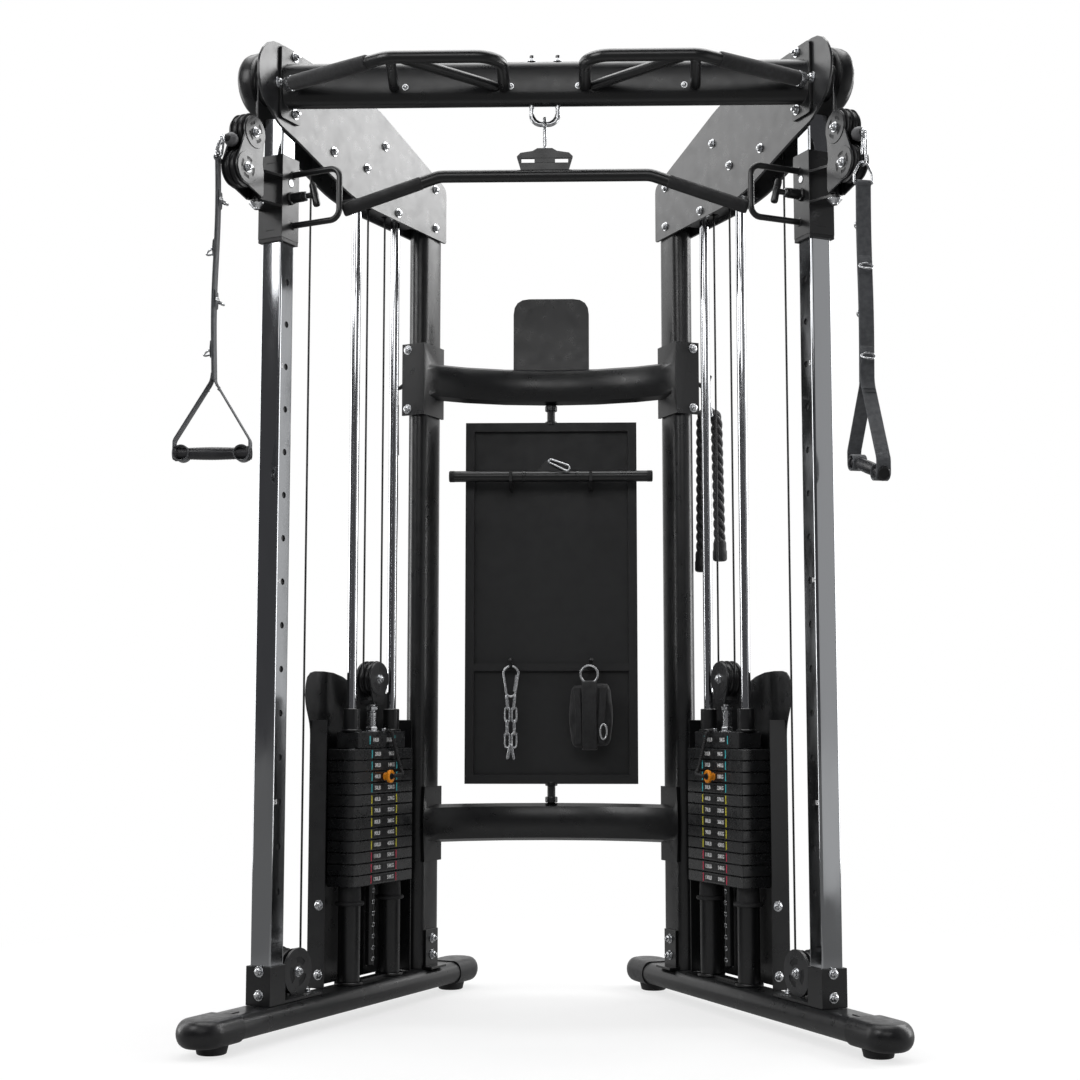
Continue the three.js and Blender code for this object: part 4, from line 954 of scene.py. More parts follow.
def pop_pin(side):
    piece = Piece(BLACK, ZINC)
    piece.use(0).rod((0, 0, PIN_Z), ALONG_X, UPRIGHT / 2 + 1, 64, 6.5, 0.5, 28)
    piece.turned((0, 0, PIN_Z), ALONG_X, [
        (0, 64.3), (10, 64.3), (10.4, 65.5), (10.4, 70), (9, 71.5), (6.2, 73), (6.2, 90), (0, 92)], 32)
    piece.use(1).ring((0, 0, PIN_Z), ALONG_X, 71, 74.5, 7.4, 6, 0.5, 28)
    tilt = Matrix.Rotation(math.radians(-14), 4, "Y")
    along = tilt @ UP
    middle = Vector((93, 0, PIN_Z))
    grip = [middle + along * s for s in (-27, -25.5, -22, -8, 0, 8, 22, 25.5, 27)]
    piece.use(0).tube(grip, [4, 6.8, 8, 7.6, 8.4, 7.6, 8, 6.8, 4], 24)
    piece.done(f"{side}_pull_pin", f"{side}_pop_pin", SIDE_FRAME[side], "pin_steel", [f"{side}_pop_pin"])


def pulley_block(side):
    """Two figure-of-eight cheeks on a swivelling hub, with arc slots and a bolt at each pulley."""
    piece = Piece(SHEET, ZINC, LABEL_AND_SHADE, BLACK)
    hull = block_outline()
    for x, outwards in ((-20.5, -1), (16.5, 1)):
        piece.use(0).plate(hull, x, x + 4)
        skin = (x - 1.4, x) if outwards < 0 else (x + 4, x + 5.4)
        for centre, start in ((BLOCK_UPPER, 10), (BLOCK_LOWER, 50)):
            at = (0, centre.y, centre.z)
            # Partly painted shade: a black disc under each slotted skin shows in the slots in place of the dark
            # sheave and its shadow behind them.
            piece.use(2).rod(at, ALONG_X, min(skin) + 0.3, max(skin) - 0.6, 32, 0.1, 48)
            piece.use(0).slotted_disc(at, 34, *skin, slots=4, start=start, inner=0.5, outer=0.68, span=46)
            bolt(piece.use(1), (skin[0] if outwards < 0 else skin[1], centre.y, centre.z),
                 (outwards, 0, 0), 8, 3)
    piece.use(3)
    hub_low, hub_high = FLANGE_LOW + PLATE + 0.3, FLANGE_HIGH - 0.3
    piece.ring((0, SWIVEL.y, 0), UP, hub_low, hub_high, 12, 5, 1, 32)
    for x in (-20.5, 16.5):
        edge = sorted((math.copysign(10, x), x + (4 if x < 0 else 0)))
        piece.box((edge[0], SWIVEL.y - 14, hub_low), (edge[1], SWIVEL.y - 5, hub_high))
    piece.use(1).ring((0, SWIVEL.y, 0), UP, FLANGE_LOW - 14, FLANGE_LOW, 7, 4.5, 1, 24)
    piece.ring((0, SWIVEL.y, 0), UP, FLANGE_HIGH + PLATE, FLANGE_HIGH + PLATE + 4, 11, 4.5, 1, 24)
    piece.done(f"{side}_block_cheeks", f"{side}_pulley_block", SIDE_FRAME[side], "grey_paint",
               [f"{side}_pulley_block"], 0.5)


def block_outline():
    radius = 36

    def around(centre, start, end):
        return [(centre.y + radius * math.cos(math.radians(a)), centre.z + radius * math.sin(math.radians(a)))
                for a in range(start, end + 1, 8)]
    upper = around(BLOCK_UPPER, -25, 200)
    lower = around(BLOCK_LOWER, 150, 285)
    hub = [(SWIVEL.y - 8, FLANGE_LOW + PLATE + 1), (SWIVEL.y - 4, FLANGE_LOW + PLATE + 8),
           (SWIVEL.y - 4, FLANGE_HIGH - 4), (SWIVEL.y - 9, FLANGE_HIGH + 14)]
    return upper + lower + hub


# ------------------------------------------------------------------ one side: cable
def strand(side, name, points, blend=None, body="root", nodes=()):
    piece = Piece(JACKET)
    piece.tube(resample(points, 8), CABLE_RADIUS, 12)
    place = SIDE_FRAME[side]
    if blend:
        blend = (*blend[:2], place @ Vector(blend[2]), place @ Vector(blend[3]))
    piece.done(f"{side}_cable_{name}", body, place, "cable_jacket", nodes, blend=blend)


def cables(side):
    x = BASE_SHEAVE.x
    anchor, rise = BASE_SHEAVE.y - BASE_PITCH, BASE_SHEAVE.y + BASE_PITCH
    near, far = STACK_Y - PITCH_RADIUS, STACK_Y + PITCH_RADIUS
    base, top, stack = BASE_SHEAVE, TOP_SHEAVE, STACK_SHEAVE
    carrier, lifted, block, end = (f"{side}_{b}" for b in ("carriage", "lifted_stack", "pulley_block",
                                                           "cable_end"))
    strand(side, "return", [(x, anchor, base.z), (x, anchor, SLEEVE_LOW + 6)],
           ("root", carrier, (x, anchor, base.z + 20), (x, anchor, SLEEVE_LOW - 4)))
    over = [Vector((x, rise, base.z)), Vector((x, rise, CABLE_HIGH - 40)),
            *arc((0, rise + PITCH_RADIUS, CABLE_HIGH), PITCH_RADIUS, 180, 90, 8, x / 3),
            *arc((0, near - PITCH_RADIUS, CABLE_HIGH), PITCH_RADIUS, 90, 0, 8),
            Vector((0, near, CABLE_HIGH - 2))]
    strand(side, "rise", list(arc(base, BASE_PITCH, -180, 0, 24, x)) + over, nodes=[f"{side}_cable"])
    for word, y in (("near", near), ("far", far)):
        strand(side, f"lift_{word}", [(0, y, CABLE_HIGH), (0, y, stack.z)],
               ("root", lifted, (0, y, CABLE_HIGH - 12), (0, y, stack.z + 45)))
    strand(side, "wrap", list(arc(stack, PITCH_RADIUS, -180, 0, 24)), body=lifted)
    run = [*arc((0, far - PITCH_RADIUS, CABLE_HIGH + 25), PITCH_RADIUS, 0, 90, 8),
           *arc(top, PITCH_RADIUS, 90, 180, 10), Vector((0, SWIVEL.y, top.z - 20))]
    strand(side, "top_run", [Vector((0, far, CABLE_HIGH - 2))] + run)
    strand(side, "drop", [(0, SWIVEL.y, top.z - 18), (0, SWIVEL.y, BLOCK_UPPER.z)],
           ("root", carrier, (0, SWIVEL.y, top.z - 40), (0, SWIVEL.y, BLOCK_UPPER.z + 30)))
    under = Vector((0, BLOCK_UPPER.y, BLOCK_UPPER.z - PITCH_RADIUS))
    strand(side, "turn", list(arc(BLOCK_UPPER, PITCH_RADIUS, 0, -90, 14)), body=block)
    strand(side, "pull", [under, BALL + Vector((0, 6, 0))],
           (block, end, under + Vector((0, -4, 0)), BALL + Vector((0, 16, 0))))


# ------------------------------------------------------------------ one side: hand grip
HANG_TURN = {"left": -65, "right": 12}
TILT = {"left": 0, "right": 17}  # how far each grip hangs out of level
FORK = {"left": 1348, "right": 1334}  # where the webbing parts round the grip
GRIP = {"left": 1195, "right": 1160}
STRAP_TOP = {"left": 1812, "right": 1746}
STRAP_WIDTH, STRAP_THICK = 32, 3.2
GRIP_RADIUS, GRIP_HALF = 14, 76


def ball_stop(side):
    hang = axle(side, "handle_swing")
    piece = Piece(GREY_RUBBER, ZINC, RUBBER)
    piece.use(0).ball(BALL, 15)
    piece.use(2).ring(BALL, (0, 1, 0), 12.5, 19, 6.5, 2.6, 0.8, 24)
    piece.turned(BALL, (0, -1, 0), [(0, 12), (8, 12), (7, 17), (3.5, 20), (0, 20)], 24)
    eye = BALL + Vector((hang.x * 0.3, -21, -5))
    loop = [eye + Vector((7 * math.cos(a), -3 * math.cos(a), 9 * math.sin(a)))
            for a in full_turn(24)]
    piece.use(1).tube(loop, 2.4, 12, closed=True)
    low = Vector((hang.x, HANG_Y, hang.z - 1))
    top = eye + Vector((0, 0, 2))
    hook = snap_hook(top, low, 9)
    piece.tube(hook, 2.8, 14, closed=True)
    gate = (hook[-1], hook[0])
    piece.tube([gate[0].lerp(gate[1], t) for t in (0.2, 0.8)], 4.0, 16)
    piece.done(f"{side}_ball", f"{side}_cable_end", SIDE_FRAME[side], "black_rubber", [f"{side}_ball_stop"])


def snap_hook(top, low, half, across=(0, 1, 0)):
    """Closed pear-shaped loop from top to low, wider at the lower end."""
    down = (low - top).normalized()
    across = Vector(across)
    across = (across - down * across.dot(down)).normalized()
    length = (low - top).length
    points = []
    for reach, middle, start in ((half * 0.62, half * 0.62, 180), (half, length - half, 0)):
        for i in range(13):
            angle = math.radians(start - 90 + 180 * i / 12)
            points.append(top + down * (middle + reach * math.cos(angle)) - across * reach * math.sin(angle))
    return points


def strap_handle(side):
    """Webbing strap with a row of rings, forked over the two ends of a moulded grip."""
    hang = axle(side, "handle_swing")
    place = (SIDE_FRAME[side] @ Matrix.Translation((hang.x, HANG_Y, 0))
             @ Matrix.Rotation(math.radians(HANG_TURN[side]), 4, "Z"))
    top, fork, grip = STRAP_TOP[side], FORK[side], GRIP[side]
    across = ALONG_X
    band = Piece(WEBBING, ZINC, LABEL_AND_SHADE)
    bow = lambda z: 2.2 * math.sin((top - z) / (top - fork) * math.pi * 2.2)
    steps = [top - (top - fork) * i / 40 for i in range(41)]
    for offset in (-STRAP_THICK / 2, STRAP_THICK / 2):
        band.use(0).strip([(0, bow(z) + offset, z) for z in steps], across, STRAP_WIDTH, STRAP_THICK * 0.92)
    loop = [(0, 5 * math.sin(a), top + 2 + 6 * math.cos(a)) for a in full_turn(20)]
    band.strip(loop, across, STRAP_WIDTH, 2.6, closed=True)
    rise = max(hang.z + 5 - top, 20)
    bow_ring = [(20, 0, top + 3), (20, 0, top + rise * 0.45), (0, 0, top + rise * 1.32),
                (-20, 0, top + rise * 0.45), (-20, 0, top + 3)]
    band.use(1).tube(rounded(bow_ring, 16, 7), 2.6, 14)
    band.tube([(-20, 0, top + 3), (20, 0, top + 3)], 2.6, 14)
    pitch = (top - fork - 40) / 4
    for k in range(4):
        sign = 1 if k % 2 == 0 else -1
        z = top - 26 - pitch * (k + 0.55)
        middle = Vector((0, bow(z) + 4 * sign, z))
        band.use(0).strip([middle + Vector((0, -4.5 * sign, 22)), middle + Vector((0, 0.5 * sign, 16)),
                           middle + Vector((0, 1.5 * sign, 0)), middle + Vector((0, 0.5 * sign, -16)),
                           middle + Vector((0, -4.5 * sign, -22))], across, STRAP_WIDTH - 3, 2.2)
        ring = [middle + Vector((15 * math.cos(a), sign * (3 + 13 * max(math.sin(a), 0)),
                                 -4 - 7 * math.sin(a)))
                for a in full_turn(28)]
        band.use(1).tube(ring, 2.2, 10, closed=True)
    lean = math.radians(TILT[side])
    for sign in (-1, 1):
        end, level = sign * (GRIP_HALF - 14) * math.cos(lean), grip + sign * (GRIP_HALF - 14) * math.sin(lean)
        leg = [Vector((0, sign * 1.8, fork + 12)), Vector((0, sign * 3.2, fork - 4)),
               Vector((0, end + sign * 15.8, level + 26))]
        leg = rounded(leg, 60, 6)
        wrap = [Vector((0, end + 15.8 * math.cos(a), level + 15.8 * math.sin(a)))
                for a in (math.radians((0 if sign > 0 else 180) - sign * 12 * t) for t in range(0, 26))]
        band.use(0).strip(resample(leg + wrap[:1], 6)[:-1] + wrap, across, STRAP_WIDTH - 1, 2.6)
        for z in (fork - 14, fork - 22):
            y = sign * (3.2 + (fork - z) * 0.44)
            band.box((-STRAP_WIDTH / 2 + 3, y - 2.4, z - 0.7), (STRAP_WIDTH / 2 - 3, y + 2.4, z + 0.7))
    band.done(f"{side}_strap", f"{side}_handle", place, "webbing", [f"{side}_strap_handle"])
    hold = Piece(GRIP_RUBBER, LABEL_AND_SHADE)
    profile = [(0, -GRIP_HALF)]
    for i in range(49):
        s = -1 + i / 24
        swell = 1.0 - 0.18 * abs(s) ** 1.5 if abs(s) < 0.72 else 0.9
        ridge = 0.35 * (i % 2) if abs(s) < 0.66 else 0
        profile.append((GRIP_RADIUS * swell - 0.6 - ridge, s * (GRIP_HALF - 1.5)))
    profile.append((0, GRIP_HALF))
    hold.turned((0, 0, grip), (0, 1, 0), profile, 36)
    for sign in (-1, 1):
        hold.use(0).ring((0, sign * (GRIP_HALF - 3), grip), (0, sign, 0), -3, 4, 15.5, 9.5, 1.2, 36)
        end = (0, sign * (GRIP_HALF + 3.6), grip)
        hold.use(0).ring(end, (0, sign, 0), -8, 0.8, 13, 10.6, 0.5, 32)
        # Painted shade: a black disc just inside each end ring stands for the dark hollow of the grip's end.
        hold.use(1).rod(end, (0, sign, 0), -8, 0, 10.8, 0.2, 32)
    middle = Matrix.Translation((0, 0, grip))
    tilted = place @ middle @ Matrix.Rotation(lean, 4, "X") @ middle.inverted()
    hold.done(f"{side}_hand_grip", f"{side}_handle", tilted, "webbing")


# ------------------------------------------------------------------ one side: fasteners
GUSSET_BOLTS = [(165, 1925), (381, 2002), (302, 1926), (442, 1857), (617, 1963), (618, 1865)]
END_PLATE_BOLTS = [(0, 2086), (3, 1959)]
NOSE_BOLT = (-51, 2014)


def frame_bolts(side):
    piece = Piece(ZINC)
    face = GUSSET_IN + PLATE
    for y, z in GUSSET_BOLTS:
        bolt(piece, (face, y, z), ALONG_X, 8, 0)
        bolt(piece, (-face, y, z), (-1, 0, 0), 8, 6)
    bolt(piece, (face, *NOSE_BOLT), ALONG_X, 8.5, 5)
    for y, z in END_PLATE_BOLTS:
        bolt(piece, (face + PLATE + 0.3, y, z), ALONG_X, 8.5, 5)
        if z < 1990:
            bolt(piece, (-face, y, z), (-1, 0, 0), 8, 6)
    for z in (140, 92):
        bolt(piece, (3, -UPRIGHT / 2 - 5.3, z), (0, -1, 0), 8, 4)
    for z in (1480 + 73, 1480 - 73):
        bolt(piece, (-15, 567.4, z), (0, -1, 0), 8, 3)
    for z in (139, 101):
        bolt(piece, (30.5, 624, z), ALONG_X, 8, 6)
    for z in (250, 100):
        bolt(piece, (-22, 222, z), (0, -1, 0), 8, 3)
        bolt(piece, (-22, 556, z), (0, 1, 0), 8, 3)
    for x, outwards in ((BASE_SHEAVE.x - 24, -1), (BASE_SHEAVE.x + 24, 1)):
        bolt(piece, (x, BASE_SHEAVE.y, BASE_SHEAVE.z), (outwards, 0, 0), 8.5, 4)
    bolt(piece, (0, 148, RAIL_TOP + PLATE + 0.3), UP, 7, 3)
    piece.done(f"{side}_frame_bolts", "root", SIDE_FRAME[side], "pin_steel")


def base_sheave_guard(side):
    """Slotted discs over the base pulley's fork."""
    piece = Piece(SHEET, LABEL_AND_SHADE)
    centre = (0, BASE_SHEAVE.y, BASE_SHEAVE.z)
    for x, outwards in ((BASE_SHEAVE.x - 24, -1), (BASE_SHEAVE.x + 24, 1)):
        skin = (x - 1.5, x) if outwards < 0 else (x, x + 1.5)
        # Partly painted shade: a black disc under each slotted skin shows in the slots in place of the dark sheave
        # and its shadow behind them.
        piece.use(1).rod(centre, ALONG_X, min(skin) + 0.3, max(skin) - 0.7, 44, 0.1, 56)
        piece.use(0).slotted_disc(centre, 49.5, *skin, slots=3, start=35, inner=0.36, outer=0.62, span=70)
    piece.done(f"{side}_base_guard", "root", SIDE_FRAME[side], "black_paint")


def cable_cover(side):
    """Smooth round cover on the outer gusset, over the cable's turn."""
    piece = Piece(NYLON)
    piece.turned((-GUSSET_IN - PLATE, 0, 2034), (-1, 0, 0), [
        (0, -0.3), (69.5, -0.3), (70.5, 1), (70.5, 24), (69, 30), (65, 35.5), (58, 39.2), (50, 41),
        (0, 42)], 72)
    piece.done(f"{side}_cable_cover", "root", SIDE_FRAME[side], "black_paint")


def rear_foot_bracket(side):
    piece = Piece(BLACK)
    piece.box((25.4, 596, RAIL_TOP), (30.4, 652, 160))
    piece.box((25.4, 590, RAIL_TOP + 0.3), (50, 658, RAIL_TOP + 5.3))
    piece.done(f"{side}_rear_foot_bracket", "root", SIDE_FRAME[side], "black_paint", bevel=0.8)


def upright_caps(side):
    piece = Piece(NYLON)
    piece.box((-24, -24, UPRIGHT_TOP), (24, 24, UPRIGHT_TOP + 3))
    piece.done(f"{side}_upright_cap", "root", SIDE_FRAME[side], "black_rubber", bevel=1.0)


def inner_sheaves(side):
    """Pulleys between the gusset plates that lead the cable over the rear run and the stack."""
    piece = Piece(NYLON)
    near, far = STACK_Y - PITCH_RADIUS, STACK_Y + PITCH_RADIUS
    rise = BASE_SHEAVE.y + BASE_PITCH
    for x, y, z in ((BASE_SHEAVE.x / 3, rise + PITCH_RADIUS, CABLE_HIGH),
                    (0, near - PITCH_RADIUS, CABLE_HIGH),
                    (0, far - PITCH_RADIUS, CABLE_HIGH + 25)):
        piece.turned((x, y, z), ALONG_X, [
            (0, -8), (14, -8), (SHEAVE_RADIUS - 2, -7), (SHEAVE_RADIUS, -6), (PITCH_RADIUS - 3, -1.5),
            (PITCH_RADIUS - 3, 1.5), (SHEAVE_RADIUS, 6), (SHEAVE_RADIUS - 2, 7), (14, 8), (0, 8)], 48)
    piece.done(f"{side}_inner_sheaves", "root", SIDE_FRAME[side], "nylon")


def side_pieces(side):
    for node, material in (("foot_bracket", BLACK), ("rear_upright", BLACK), ("inner_gusset", SHEET),
                           ("outer_gusset", SHEET), ("stack_shroud", BLACK)):
        dress(f"{side}_{node}", material)
    base_rail(side)
    front_upright(side)
    guide_rods(side)
    stack_risers(side)
    weight_stack(side)
    selector_pin(side)
    stack_pulley(side)
    carriage(side)
    pop_pin(side)
    pulley_block(side)
    cables(side)
    ball_stop(side)
    strap_handle(side)
    for node, centre, radius, grooves in (
            ("top_pulley", TOP_SHEAVE, SHEAVE_RADIUS, 1), ("base_pulley", BASE_SHEAVE, 47, 1),
            ("block_pulley_upper", BLOCK_UPPER, SHEAVE_RADIUS, 2),
            ("block_pulley_lower", BLOCK_LOWER, SHEAVE_RADIUS, 2),
            ("stack_pulley", STACK_SHEAVE, SHEAVE_RADIUS, 2)):
        sheave(side, f"{side}_{node}", centre, radius, SHEAVE_WIDTHS[grooves], grooves,
               f"{side}_{node}_wheel")
    frame_bolts(side)
    base_sheave_guard(side)
    cable_cover(side)
    rear_foot_bracket(side)
    upright_caps(side)
    inner_sheaves(side)


# ------------------------------------------------------------------ between the frames
def pull_up_grip(side):
    """Angled tube with foam over its free outer leg, and two struts back to the beam."""
    mirror = 1 if side == "left" else -1
    face, z, front_y = BEAM_Y - BEAM_DEEP / 2 - 0.3, sum(heights("left_pull_up_grip")) / 2, -228
    at = lambda x, y: Vector((x * mirror, y, z))
    free, corner = at(-545, -82), at(-320, front_y)
    run = rounded([free, corner, at(-86, front_y), at(-86, face)], 52, 8)
    piece = Piece(BLACK, FOAM, ZINC)
    piece.use(0).tube(run, 13, 24)
    piece.tube([at(-312, front_y), at(-322, face)], 11, 20)
    piece.tube([at(-296, front_y), at(-104, face)], 11, 20)
    for x in (-298, -72):
        bolt(piece.use(2), at(x, face), (0, -1, 0), 5, 0)
    leg = (corner - free).normalized()
    sleeve = [free + leg * s for s in (12, 13, 15, 90, 216, 218, 219)]
    piece.use(1).tube(sleeve, [13, 15.4, 16.4, 16.8, 16.4, 15.4, 13], 28)
    piece.use(2).tube([free + leg * s for s in (-4, -3, 0, 12, 13)], [12, 15.6, 16.6, 16.6, 14], 28)
    piece.use(0).tube([free + leg * s for s in (-4.6, -3.4)], [11, 12.4], 28)
    piece.done(f"{side}_grip_bar", "root", MACHINE, "black_paint", [f"{side}_pull_up_grip"])


def plain_end(point):
    """Folds a cross beam's front wrap back into its end plate, as at the lower joint."""
    side = "left" if point.x < 0 else "right"
    local = SIDE_FRAME[side].inverted() @ point
    if local.y < 576:
        inner = UPRIGHT / 2 + 0.3
        local.x = min(max(local.x, inner), inner + PLATE)
        local.y = 584
    return SIDE_FRAME[side] @ local


def beam_details():
    piece = Piece(ZINC)
    for x in (-28, 28):
        bolt(piece, (x, BEAM_Y, BEAM_Z + 49), UP, 7.5, 8)
    loop = rounded([(-28, BEAM_Y, BEAM_Z - 48), (-28, BEAM_Y, LOOP_Z), (28, BEAM_Y, LOOP_Z),
                    (28, BEAM_Y, BEAM_Z - 48)], 26, 12)
    piece.tube(loop, 5.4, 16)
    piece.done("u_bolt", "root", MACHINE, "chrome")


def lat_bar():
    """Bent pull-down bar with rubber grips at both ends, its slotted lug and the wire hook."""
    y = BEAM_Y
    piece = Piece(BLACK, RUBBER, ZINC)
    ends = [(-LAT_END, y, LAT_Z - LAT_DROP), (-LAT_HALF, y, LAT_Z), (LAT_HALF, y, LAT_Z),
            (LAT_END, y, LAT_Z - LAT_DROP)]
    piece.use(0).tube(rounded(ends, 60, 10), 13.2, 28)
    for sign in (-1, 1):
        out = Vector((sign * LAT_END, y, LAT_Z - LAT_DROP))
        lead = (out - Vector((sign * LAT_HALF, y, LAT_Z))).normalized()
        sleeve = [out + lead * s for s in (-176, -175, -172, -100, -4, 0, 2, 3)]
        piece.use(1).tube(sleeve, [13, 13.8, 14.2, 14.3, 14.3, 14, 12.5, 9], 32)
    piece.use(0)
    lug_plate(piece, y)
    wire = rounded([(0, y, LAT_Z + 52), (0, y + 9, LAT_Z + 66), (0, y + 9, LOOP_Z + 6),
                    (0, y + 2, LOOP_Z + 15), (0, y - 9, LOOP_Z + 9), (0, y - 12, LOOP_Z - 10)], 8, 6)
    piece.use(2).tube(wire, 4, 14)
    piece.done("pull_down_bar", "lat_bar", MACHINE, "black_paint", ["lat_bar"], 0.4)


def lug_plate(piece, y):
    """Upper and lower halves of the lug meet round its two finger slots."""
    outer = [(-50, LAT_Z + 8), (50, LAT_Z + 8), (56, LAT_Z + 26), (60, LAT_Z + 42),
             (52, LAT_Z + 50), (26, LAT_Z + 54), (16, LAT_Z + 60), (-16, LAT_Z + 60),
             (-26, LAT_Z + 54), (-52, LAT_Z + 50), (-60, LAT_Z + 42), (-56, LAT_Z + 26)]
    foot, slot_low, slot_high = LAT_Z + 8, LAT_Z + 28, LAT_Z + 38
    low = [(-50, foot), (50, foot), (56, slot_low), (-56, slot_low)]
    high = [(-59, slot_high)] + [p for p in outer if p[1] > slot_high][::-1] + [(59, slot_high)]
    for shape in (low, high[::-1],
                  [(-56, slot_low), (-50, slot_low), (-50, slot_high), (-59, slot_high)],
                  [(-22, slot_low), (22, slot_low), (22, slot_high), (-22, slot_high)],
                  [(50, slot_low), (56, slot_low), (59, slot_high), (50, slot_high)]):
        piece.plate(shape, y - 4, y + 4, "y")


def straight_bar():
    piece = Piece(BLACK, RUBBER, ZINC)
    at = (0, BAR_Y, BAR_Z)
    piece.use(0).rod(at, ALONG_X, -244, 244, 13.6, 1, 36)
    for sign in (-1, 1):
        piece.use(1).turned(at, (sign, 0, 0), [(13, 236), (14, 237), (14, 248), (12, 250), (0, 250)], 36)
        piece.use(0).ring(at, (sign, 0, 0), 62, 70, 15, 13, 1, 36)
    outline = [(-38, BAR_Z + 8), (38, BAR_Z + 8), (30, BAR_Z + 16), (14, BAR_Z + 36),
               (6, BAR_Z + 40), (-6, BAR_Z + 40), (-14, BAR_Z + 36), (-30, BAR_Z + 16)]
    piece.plate(outline, BAR_Y - 4, BAR_Y + 4, "y")
    hook = snap_hook(Vector((-4, BAR_Y - 8, BAR_Z + 38)), Vector((46, BAR_Y - 16, BAR_Z + 16)), 7,
                     (0.3, 0, 1))
    piece.use(2).tube(hook, 2.6, 12, closed=True)
    piece.done("cable_bar", "straight_bar", MACHINE, "black_paint", ["straight_bar"], 0.5)


def board_details():
    """Washers on the board's pivots, and round tips on its pegs."""
    piece = Piece(BLACK, ZINC)
    for low, high in ((1384, 1394), (1420, 1434), (454, 468), (494, 504)):
        piece.use(0).ring((0, 637, 0), UP, low, high, 15, 10.2, 1.5, 32)
    for x in (-PEG_X, PEG_X):
        piece.use(0).ball((x, BOARD_FRONT - 32, PEG_Z + 16), 6)
        piece.rod((x, BOARD_FRONT + 1, PEG_Z), (0, -1, 0), 0, 5, 9, 1, 28)
    piece.done("board_fittings", "board", MACHINE, "black_paint")


def chain():
    """Chain folded in two on its spring hook, on the left peg."""
    piece = Piece(CHAIN_ZINC)
    x, y = -PEG_X, BOARD_FRONT - 24
    top, low = PEG_Z + 2, PEG_Z - 72
    piece.tube(snap_hook(Vector((x, y, low)), Vector((x, y, top)), 18, (1, 0, 0.05)), 2.9, 14, closed=True)
    piece.tube([(x + 15, y, top - 22), (x + 9, y, low + 12)], 4.2, 14)
    for sign in (-1, 1):
        for k in range(5):
            fold = k == 4
            offset = sign * (4.2 if fold else 8.4)
            middle = Vector((x + offset, y - 1, low - 13 - k * 31 + (4 if fold else 0)))
            across = Vector((0.3 * sign, -1, 0)) if k % 2 == 0 else Vector((1, 0.2 * sign, 0))
            lean = Vector((-0.2 * sign if fold else 0.1 * sign if k == 0 else 0, 0, 1))
            across.normalize()
            link = [middle + across * 5.8 * math.cos(a)
                    + lean * (12 * math.copysign(min(1, abs(math.sin(a)) * 3),
                                                 math.sin(a)) + 5.8 * math.sin(a))
                    for a in full_turn(32)]
            piece.tube(link, 2.2, 12, closed=True)
    piece.done("stored_chain", "board", MACHINE, "chrome")


def ankle_cuff():
    """Padded cuff closed on itself, with its closing strap and two D rings."""
    low, high = 588, 742
    cx, cy = PEG_X - 1, BAR_Y - 6
    pad = Piece(CUFF)
    mesh = pad.mesh
    rows, steps = 30, 56
    grid = []
    for r in range(rows + 1):
        t = r / rows
        edge = min(1, math.sin(math.pi * min(max(t, 0.0), 1.0)) * 3.2) ** 0.5 if 0 < t < 1 else 0.0
        ring = []
        for s in range(steps):
            a = math.tau * s / steps
            wide = 50 * (1 - 0.06 * math.cos(math.tau * t)) * (0.82 + 0.18 * edge)
            deep = 19 * (0.5 + 0.5 * edge)
            c, n = math.cos(a), math.sin(a)
            x = math.copysign(abs(c) ** 0.55, c) * wide
            y = math.copysign(abs(n) ** 0.7, n) * deep
            fold = noise.noise(Vector((x * 0.05, t * 5, n * 2))) * 3.0
            crease = -3.2 * math.exp(-((x + 16) / 5) ** 2) - 2.4 * math.exp(-((x - 22) / 6) ** 2)
            z = low + (high - low) * (0.02 + 0.96 * t) + 3 * math.sin(x * 0.06)
            ring.append(mesh.verts.new((cx + x, cy + y + (fold + crease * (-1 if n < 0 else 0)) * edge, z)))
        grid.append(ring)
    for a, b in zip(grid, grid[1:]):
        wall(mesh, a, b)
    mesh.faces.new(grid[0][::-1])
    mesh.faces.new(grid[-1])
    cuff = pad.done("cuff_pad", "ankle_cuff", MACHINE, "webbing", ["ankle_cuff"], smooth=70)
    strap = Piece(CUFF, CHAIN_ZINC)
    front = cy - 25
    strap.use(0).strip([(cx - 4, cy - 6, high + 6), (cx - 4, front + 4, high + 2),
                        (cx - 4, front, high - 16), (cx - 4, front - 1, 664),
                        (cx - 3, front, low + 14), (cx - 3, front + 6, low - 2),
                        (cx - 3, cy - 4, low - 5)], ALONG_X, 36, 3.4)
    for x, tilt in ((cx - 34, 0.05), (cx + 30, -0.06)):
        strap.strip([(x, cy - 19, high - 12), (x + tilt * 40, front + 3, high - 40),
                     (x + tilt * 80, front + 3, low + 50), (x + tilt * 90, cy - 19, low + 10)],
                    ALONG_X, 16, 3)
    ring = [Vector((cx - 4 + 21 * math.cos(a), cy - 12, high + 22 + 21 * math.sin(a))) for a in
            full_turn(32)]
    strap.use(1).tube(ring, 2.8, 12, closed=True)
    ring = [Vector((cx + 30 + 8 * math.sin(a), cy - 26 + 3 * math.sin(a), low + 38 + 18 * math.cos(a)))
            for a in full_turn(28)]
    strap.tube(ring, 2.4, 12, closed=True)
    strap.done("cuff_straps", "ankle_cuff", MACHINE, "webbing")


